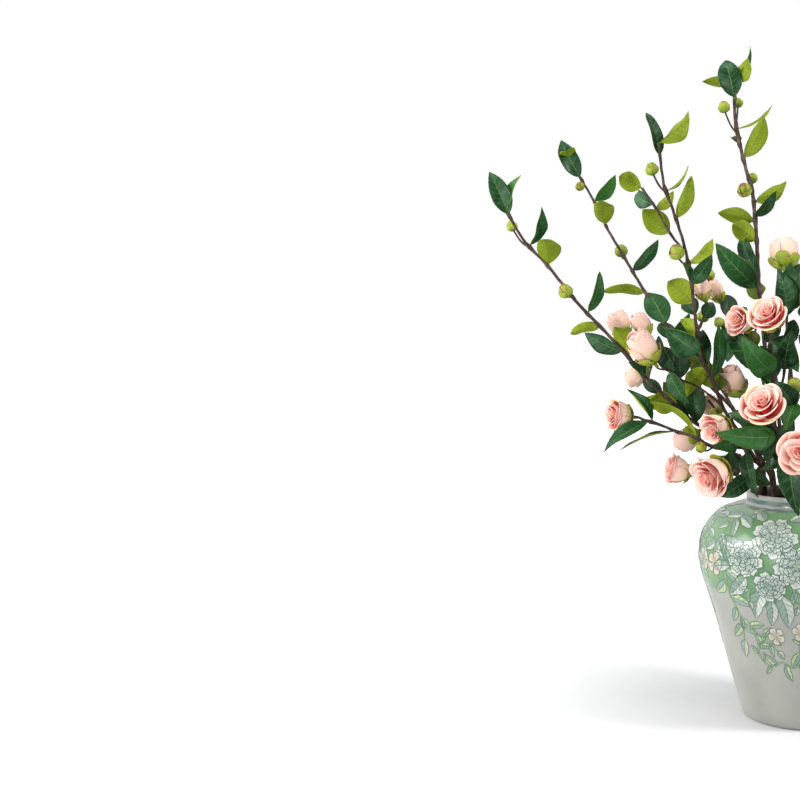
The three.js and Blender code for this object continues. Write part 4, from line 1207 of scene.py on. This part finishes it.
# The jar's section from the middle of its underside, up the outside and down the inside to its floor.
def jarOutline():
    j = jarForm
    belly = along(j["belly"], np.linspace(0, len(j["belly"]) - 1, 91))
    hollow = along(j["inside"], np.linspace(len(j["inside"]) - 1, 0, 50))
    top, lip = j["height"], j["lip"]
    bend = np.linspace(0, math.pi / 2, 6)
    outer, inner = j["collar"] - 0.8, j["collar"] - j["wall"]
    collar = np.linspace(j["neck"], top - 2 * lip, 7)[1:]
    swell = np.interp(collar, [j["neck"], j["waistFrom"], j["waistTo"], top],
                      [j["collar"], j["waist"], j["waist"], outer])
    rim = [[outer - 2 * lip + 2 * lip * math.cos(t), top - 2 * lip + 2 * lip * math.sin(t)] for t in bend[1:]]
    rim += [[inner + 1.5 * lip - 1.5 * lip * math.sin(t), top - 1.5 * lip + 1.5 * lip * math.cos(t)]
            for t in bend[1:]]
    foot = [[0.6, j["hollowUnder"]], [j["footRing"], j["hollowUnder"]], [j["footRing"] + 1.5, 0],
            [j["foot"] - 5, 0], [j["foot"] - 2.6, 0.8], [j["foot"] - 1, 3], [j["foot"] - 0.4, 6]]
    return np.concatenate([foot, belly, np.stack([swell, collar], 1), rim, hollow, [[0.6, j["floor"]]]])


glaze = {
    "white": ("aeaea6", "a2a39b"), "fleck": "b9bcb2", "green": ("5f8b5c", "7fa277"), "band": "3f6c69",
    "line": "4e7273",
    # heights in metres: where the green starts and ends, and where each stripe starts, is full and ends
    "greenFrom": 0.168, "wander": 0.05, "greenTo": (0.2702, 0.2712),
    "bandAt": (0.2742, 0.2758, 0.2798, 0.2814), "lineAt": (0.2695, 0.2703, 0.2710, 0.2718),
}
fired = {"IOR": 1.5, "Coat Weight": 0.3, "Coat Roughness": 0.14}  # the shine that glaze and enamels share


def jarLook():
    look, tree, shader = newLook("glazedJar", {"Roughness": 0.26, **fired})
    split = tree.nodes.new("ShaderNodeSeparateXYZ")
    tree.links.new(readNode(tree, "ShaderNodeTexCoord", "Object"), split.inputs[0])
    high = split.outputs["Z"]

    def stripe(start, full, fullTo, end):
        return times(tree, fade(tree, high, start, full), fade(tree, high, end, fullTo))

    cloud = grain(tree, 14, 4)
    white = mixed(tree, fade(tree, cloud, 0.35, 0.7), *glaze["white"])
    white = laidOver(tree, white, fade(tree, grain(tree, 420, 2), 0.68, 0.8, 0, 0.35), glaze["fleck"])
    green = mixed(tree, fade(tree, cloud, 0.3, 0.7), *glaze["green"])
    edge = maths(tree, "MULTIPLY_ADD", grain(tree, 24, 3), glaze["wander"], high)
    low = glaze["greenFrom"] + glaze["wander"] / 2
    fullTo, end = glaze["greenTo"]
    share = times(tree, fade(tree, edge, low, low + 0.004), fade(tree, high, end, fullTo))
    colour = mixed(tree, share, white, green)
    wash = fade(tree, grain(tree, 60, 3), 0.3, 0.65, 0.45, 1.0)
    colour = laidOver(tree, colour, times(tree, stripe(*glaze["bandAt"]), wash), glaze["band"])
    colour = laidOver(tree, colour, times(tree, stripe(*glaze["lineAt"]), 0.8), glaze["line"])
    join(tree, shader.inputs["Base Color"], colour)
    raised(tree, shader, grain(tree, 55, 2), 0.12)
    return look


def makeJar():
    piece = newPiece("jar", [jarLook()])
    outline = jarOutline()
    angle = 2 * math.pi * np.arange(jarForm["sides"]) / jarForm["sides"]
    r, z = outline[:, :1], outline[:, 1:]
    rings = np.stack([r * np.cos(angle), r * np.sin(angle), z * np.ones_like(angle)], -1)
    addSkin(piece, rings, 0, {})
    finishPiece(piece, ["vase"])


makeJar()
print("jar turned")

# The painting is drawn flat around an origin, x to the right and y up, and wrapped on the belly.
shoulder = along(jarForm["belly"], np.linspace(len(jarForm["belly"]) - 1, 0, 241))
dropTo = walkedTo(shoulder)
enamels = {  # the name of each enamel's material and its two tones
    "ink": ("inkLine", "40645b", "6a8f82"), "pale": ("paleEnamel", "8ba393", "dadcd4"),
    "wash": ("washEnamel", "6b8a79", "98ae9d"), "leafGreen": ("greenEnamel", "90b375", "c2cda0"),
    "stemGreen": ("stemEnamel", "86a56f", "aebf93"), "cream": ("creamEnamel", "b9a88c", "d8d0bd"),
}
brush = {
    "washLift": 0.1, "inkLift": 0.05, "levelLift": 0.03,  # how far over the glaze, and more for each level
    "step": 2.2,  # a stroke's corners lie this far apart, and the widths of the strokes follow
    "outline": 0.95, "midrib": 0.9, "hatch": 0.6, "vein": 0.5, "blossomEdge": 0.75, "heartDot": 1.6,
    "twigInk": 3.6, "twigGreen": 2.6,
}


# The points of a flat line at the given distances along it.
def pointsAt(at, walked, line):
    return np.stack([np.interp(at, walked, line[:, k]) for k in (0, 1)], -1)


def onJar(origin, flat, lift):
    drop = origin[1] - flat[..., 1]
    ahead = pointsAt(drop + 1, dropTo, shoulder) - pointsAt(drop - 1, dropTo, shoulder)
    ahead = ahead / np.linalg.norm(ahead, axis=-1, keepdims=True)
    r, z = np.moveaxis(pointsAt(drop, dropTo, shoulder), -1, 0)
    r, z = r - ahead[..., 1] * lift, z + ahead[..., 0] * lift
    angle = origin[0] + flat[..., 0] / np.interp(origin[1], dropTo, shoulder[:, 0])
    return np.stack([r * np.cos(angle), r * np.sin(angle), z], -1)


def addEnamel(piece, origin, flat, lift, enamel, values):
    number = addPoints(piece, onJar(origin, flat, lift), values)
    addFaces(piece, quads(number), list(enamels).index(enamel))


def addWash(piece, origin, flat, enamel, level, **values):
    addEnamel(piece, origin, flat, brush["washLift"] + brush["levelLift"] * level, enamel, values)


# A stroke that swells from its ends to the full width.
def addStroke(piece, origin, line, width, level, enamel="ink"):
    walked = walkedTo(line)
    n = max(3, int(walked[-1] / brush["step"]) + 1)
    line = pointsAt(np.linspace(0, walked[-1], n), walked, line)
    way = np.gradient(line, axis=0)
    way = way / np.maximum(np.linalg.norm(way, axis=1, keepdims=True), 1e-9)
    off = np.stack([-way[:, 1], way[:, 0]], -1)
    half = width / 2 * (0.35 + 0.65 * np.sin(np.pi * np.linspace(0.06, 0.94, n)) ** 0.6)[:, None]
    flat = np.stack([line + off * half, line - off * half], 1)
    lift = brush["washLift"] + brush["inkLift"] + brush["levelLift"] * level
    addEnamel(piece, origin, flat, lift, enamel, {})


# The edge of a petal drawn as a grid, from its foot around the tip and back.
def petalEdge(flat):
    return np.concatenate([flat[1:, 0], flat[-1], flat[-2:0:-1, -1]])


def swung(flat, turn, centre=(0, 0)):
    c, s = math.cos(turn), math.sin(turn)
    return np.stack([flat[..., 0] * c - flat[..., 1] * s, flat[..., 0] * s + flat[..., 1] * c], -1) + centre


# For each ring of a peony: how many petals, how far out they reach and start, and their half angle.
peonyRings = (
    (9, 1.0, 0.35, 0.44), (8, 0.8, 0.25, 0.5), (7, 0.6, 0.15, 0.58), (5, 0.4, 0.05, 0.75),
    (4, 0.22, 0.02, 0.9),
)


# A peony: rings of scalloped petals, each drawn over the last, outlined and hatched from the heart.
def paintPeony(piece, origin, centre, size, seed, level):
    b, a = stations(5, 10)
    for n, (count, outer, inner, halfAngle) in enumerate(peonyRings):
        for k in range(count):
            mark = seed + 7 * n + k
            turn = 2 * math.pi * (k + 0.5 * (n % 2) + 0.25 * (draw(mark) - 0.5)) / count + seed
            reach = size * outer * (1 + 0.16 * (draw(mark + 1) - 0.5))
            tip = reach * (1 - 0.3 * np.abs(a) ** 3 + 0.05 * np.cos(8 * a + 2))
            ring = size * inner * 0.8 + (tip - size * inner * 0.8) * b
            angle = turn + halfAngle * a * (0.5 + 0.5 * b ** 0.7)
            flat = np.stack([ring * np.cos(angle), 0.92 * ring * np.sin(angle)], -1) + centre
            tone = (0.2 + 0.8 * b) * (1 - 0.12 * n) * np.ones_like(a)
            up = level + 1.6 * n + 0.2 * (k % 3)
            addWash(piece, origin, flat, "pale", up, grow=tone)
            addStroke(piece, origin, petalEdge(flat), brush["outline"], up)
            deep = 2 + int(2 * draw(mark + 3)) if n < 3 else 3
            for column in (3, 5, 7):  # hatched from the heart outward
                addStroke(piece, origin, flat[deep:5, column], brush["hatch"], up)
    for k in range(6):
        turn = 1.05 * k + seed
        dot = np.array([[0, 0], [1.0, 0.2], [1.7, 0.1]]) * size * 0.04
        addStroke(piece, origin, swung(dot, turn, centre), brush["heartDot"], level + 10, "leafGreen")


# A leaf: pale on one side of the midrib, washed on the other, with inked edge and veins.
def paintLeaf(piece, origin, foot, length, width, turn, seed, level, enamel="pale", veins=5):
    last = 12
    s = np.linspace(0, 1, last + 1)
    half = width / 2 * np.sin(np.pi * s**0.8) ** 0.75 * (1 + 0.07 * np.cos(17 * s + seed))
    bend = 0.16 * length * (draw(seed) - 0.5) * np.sin(np.pi * s)
    spine = np.stack([s * length, bend], -1)
    sides = []
    for way in (1, -1):
        edge = spine + np.stack([0 * s, way * half], -1)
        share = np.linspace(0, 1, 4)[:, None, None]
        flat = swung(spine[None] + (edge - spine)[None] * share, turn, foot)
        flat = flat if way < 0 else flat[::-1]
        addWash(piece, origin, flat, enamel if way > 0 else "wash", level, grow=0.6 + 0.4 * draw(seed + way))
        sides.append(edge)
        for k in range(veins):
            i = 1 + int(k * 10 / veins)
            end = min(i + 2, last)
            tip = spine[end] + (edge[end] - spine[end]) * 0.85
            addStroke(piece, origin, swung(np.array([spine[i], tip]), turn, foot), brush["vein"], level)
    for edge in sides:
        addStroke(piece, origin, swung(edge, turn, foot), brush["outline"], level)
    addStroke(piece, origin, swung(spine, turn, foot), brush["midrib"], level)


# A small five-petalled blossom.
def paintBlossom(piece, origin, centre, size, seed, level):
    a = np.linspace(-1, 1, 7)[None, :]
    b = np.linspace(0.12, 1, 4)[:, None]
    for k in range(5):
        turn = 2 * math.pi * k / 5 + seed
        ring = size * b * (1 - 0.2 * np.abs(a) ** 3)
        flat = np.stack([ring * np.cos(turn + 0.56 * a), ring * np.sin(turn + 0.56 * a)], -1) + centre
        addWash(piece, origin, flat, "cream", level, grow=b * np.ones_like(a))
        addStroke(piece, origin, petalEdge(flat), brush["blossomEdge"], level)
        addStroke(piece, origin, flat[:3, 3], brush["vein"], level)


# A twig with leaves in turn on either side, ending in a blossom or a bud.
def paintTwig(piece, origin, line, leafLength, count, seed, ending, enamel):
    last = 23
    line = along(line, np.linspace(0, len(line) - 1, last + 1))
    addStroke(piece, origin, line, brush["twigInk"], 0)
    addStroke(piece, origin, line, brush["twigGreen"], 0.8, "stemGreen")
    for k in range(count):
        at = int(2 + k * 20 / count)
        way = line[min(at + 1, last)] - line[at]
        turn = math.atan2(way[1], way[0]) + (0.85 if k % 2 else -0.85) * (0.8 + 0.4 * draw(seed + k))
        length = leafLength * (0.75 + 0.5 * draw(seed + k + 5))
        paintLeaf(piece, origin, line[at], length, 0.42 * length, turn, seed + k, 1 + k % 2, enamel, 3)
    if ending == "bud":
        way = line[-1] - line[-3]
        turn, length = math.atan2(way[1], way[0]), 0.8 * leafLength
        paintLeaf(piece, origin, line[-1], length, 0.62 * length, turn, seed, 3, "cream", 2)
    else:
        paintBlossom(piece, origin, line[-1], 0.55 * leafLength, seed, 4)


def enamelLook(name, dark, light):
    look, tree, shader = newLook(name, {"Roughness": 0.28, **fired})
    stain = fade(tree, grain(tree, 180, 3), 0.3, 0.7)
    tone = maths(tree, "MULTIPLY_ADD", stain, 0.36, times(tree, readMark(tree, "grow"), 0.72))
    join(tree, shader.inputs["Base Color"], mixed(tree, tone, dark, light))
    return look


# Garlands around the belly, every second one mirrored.
garland = {
    "places": [-106, -16, 74, 164],  # where each stands around the jar, in degrees
    "originDrop": 90.0,  # how far down the shoulder their origin lies
    "peonies": [(2, 54, 29), (-33, 86, 24), (31, 90, 27), (0, 116, 20)],  # x, drop, size
    "leaves": [  # x, drop, length, width, turn in degrees
        (-8, 120, 44, 20, -112), (10, 124, 46, 20, -78), (28, 112, 44, 19, -46), (-30, 106, 42, 18, -137),
        (-40, 72, 36, 17, 166), (42, 68, 34, 16, 14), (-18, 32, 34, 16, 140), (20, 30, 34, 15, 40),
        (0, 134, 34, 15, -95), (-54, 96, 32, 14, -168), (56, 98, 32, 14, -12), (-34, 44, 34, 15, 155),
        (38, 42, 32, 14, 24),
    ],
    "twigs": [  # points from the origin, length and number of the leaves, what it ends in, the leaves' enamel
        ([(-60, 66), (-74, 46), (-84, 18), (-82, -8)], 27, 6, "blossom", "pale"),
        ([(-70, 40), (-62, 4), (-62, -38), (-50, -74), (-52, -104)], 30, 9, "bud", "leafGreen"),
        ([(-52, -70), (-34, -88), (-14, -96), (2, -92)], 22, 5, "blossom", "leafGreen"),
        ([(8, -126), (-12, -134), (-28, -122), (-26, -106), (-10, -102), (2, -112)], 18, 7, "bud",
         "leafGreen"),
        ([(8, -126), (26, -132), (42, -120), (46, -100), (36, -84)], 22, 6, "blossom", "leafGreen"),
        ([(-26, -30), (-31, -40), (-30, -48)], 15, 1, "bud", "leafGreen"),
        ([(30, -28), (35, -40), (33, -50)], 15, 1, "bud", "leafGreen"),
        ([(46, 44), (58, 48), (66, 62)], 18, 3, "blossom", "pale"),
        ([(-42, 52), (-52, 66), (-48, 80)], 17, 3, "blossom", "pale"),
        ([(66, 30), (76, 10), (80, -14), (74, -34)], 22, 5, "blossom", "pale"),
    ],
}


def paintJar():
    piece = newPiece("jarPainting", [enamelLook(*entry) for entry in enamels.values()])
    high = garland["originDrop"]
    for n, place in enumerate(garland["places"]):
        seed = 40 * n
        origin = (math.radians(place), high)
        flip = 1 if n % 2 == 0 else -1
        for k, (x, drop, length, width, turn) in enumerate(garland["leaves"]):
            turn = math.radians(turn if flip > 0 else 180 - turn)
            paintLeaf(piece, origin, (flip * x, high - drop), length, width, turn, seed + k, 1 + 0.3 * k)
        for k, (x, drop, size) in enumerate(garland["peonies"]):
            paintPeony(piece, origin, (flip * x, high - drop), size, seed + 9 * k, 5 + 9 * (k % 2))
        for k, (line, length, count, ending, enamel) in enumerate(garland["twigs"]):
            line = [(flip * x, y) for x, y in line]
            paintTwig(piece, origin, line, length, count, seed + 13 * k, ending, enamel)
    finishPiece(piece)


paintJar()
print("jar painted")
print("triangles in all", sum(triangles.values()), "and in the largest piece", max(triangles.values()))
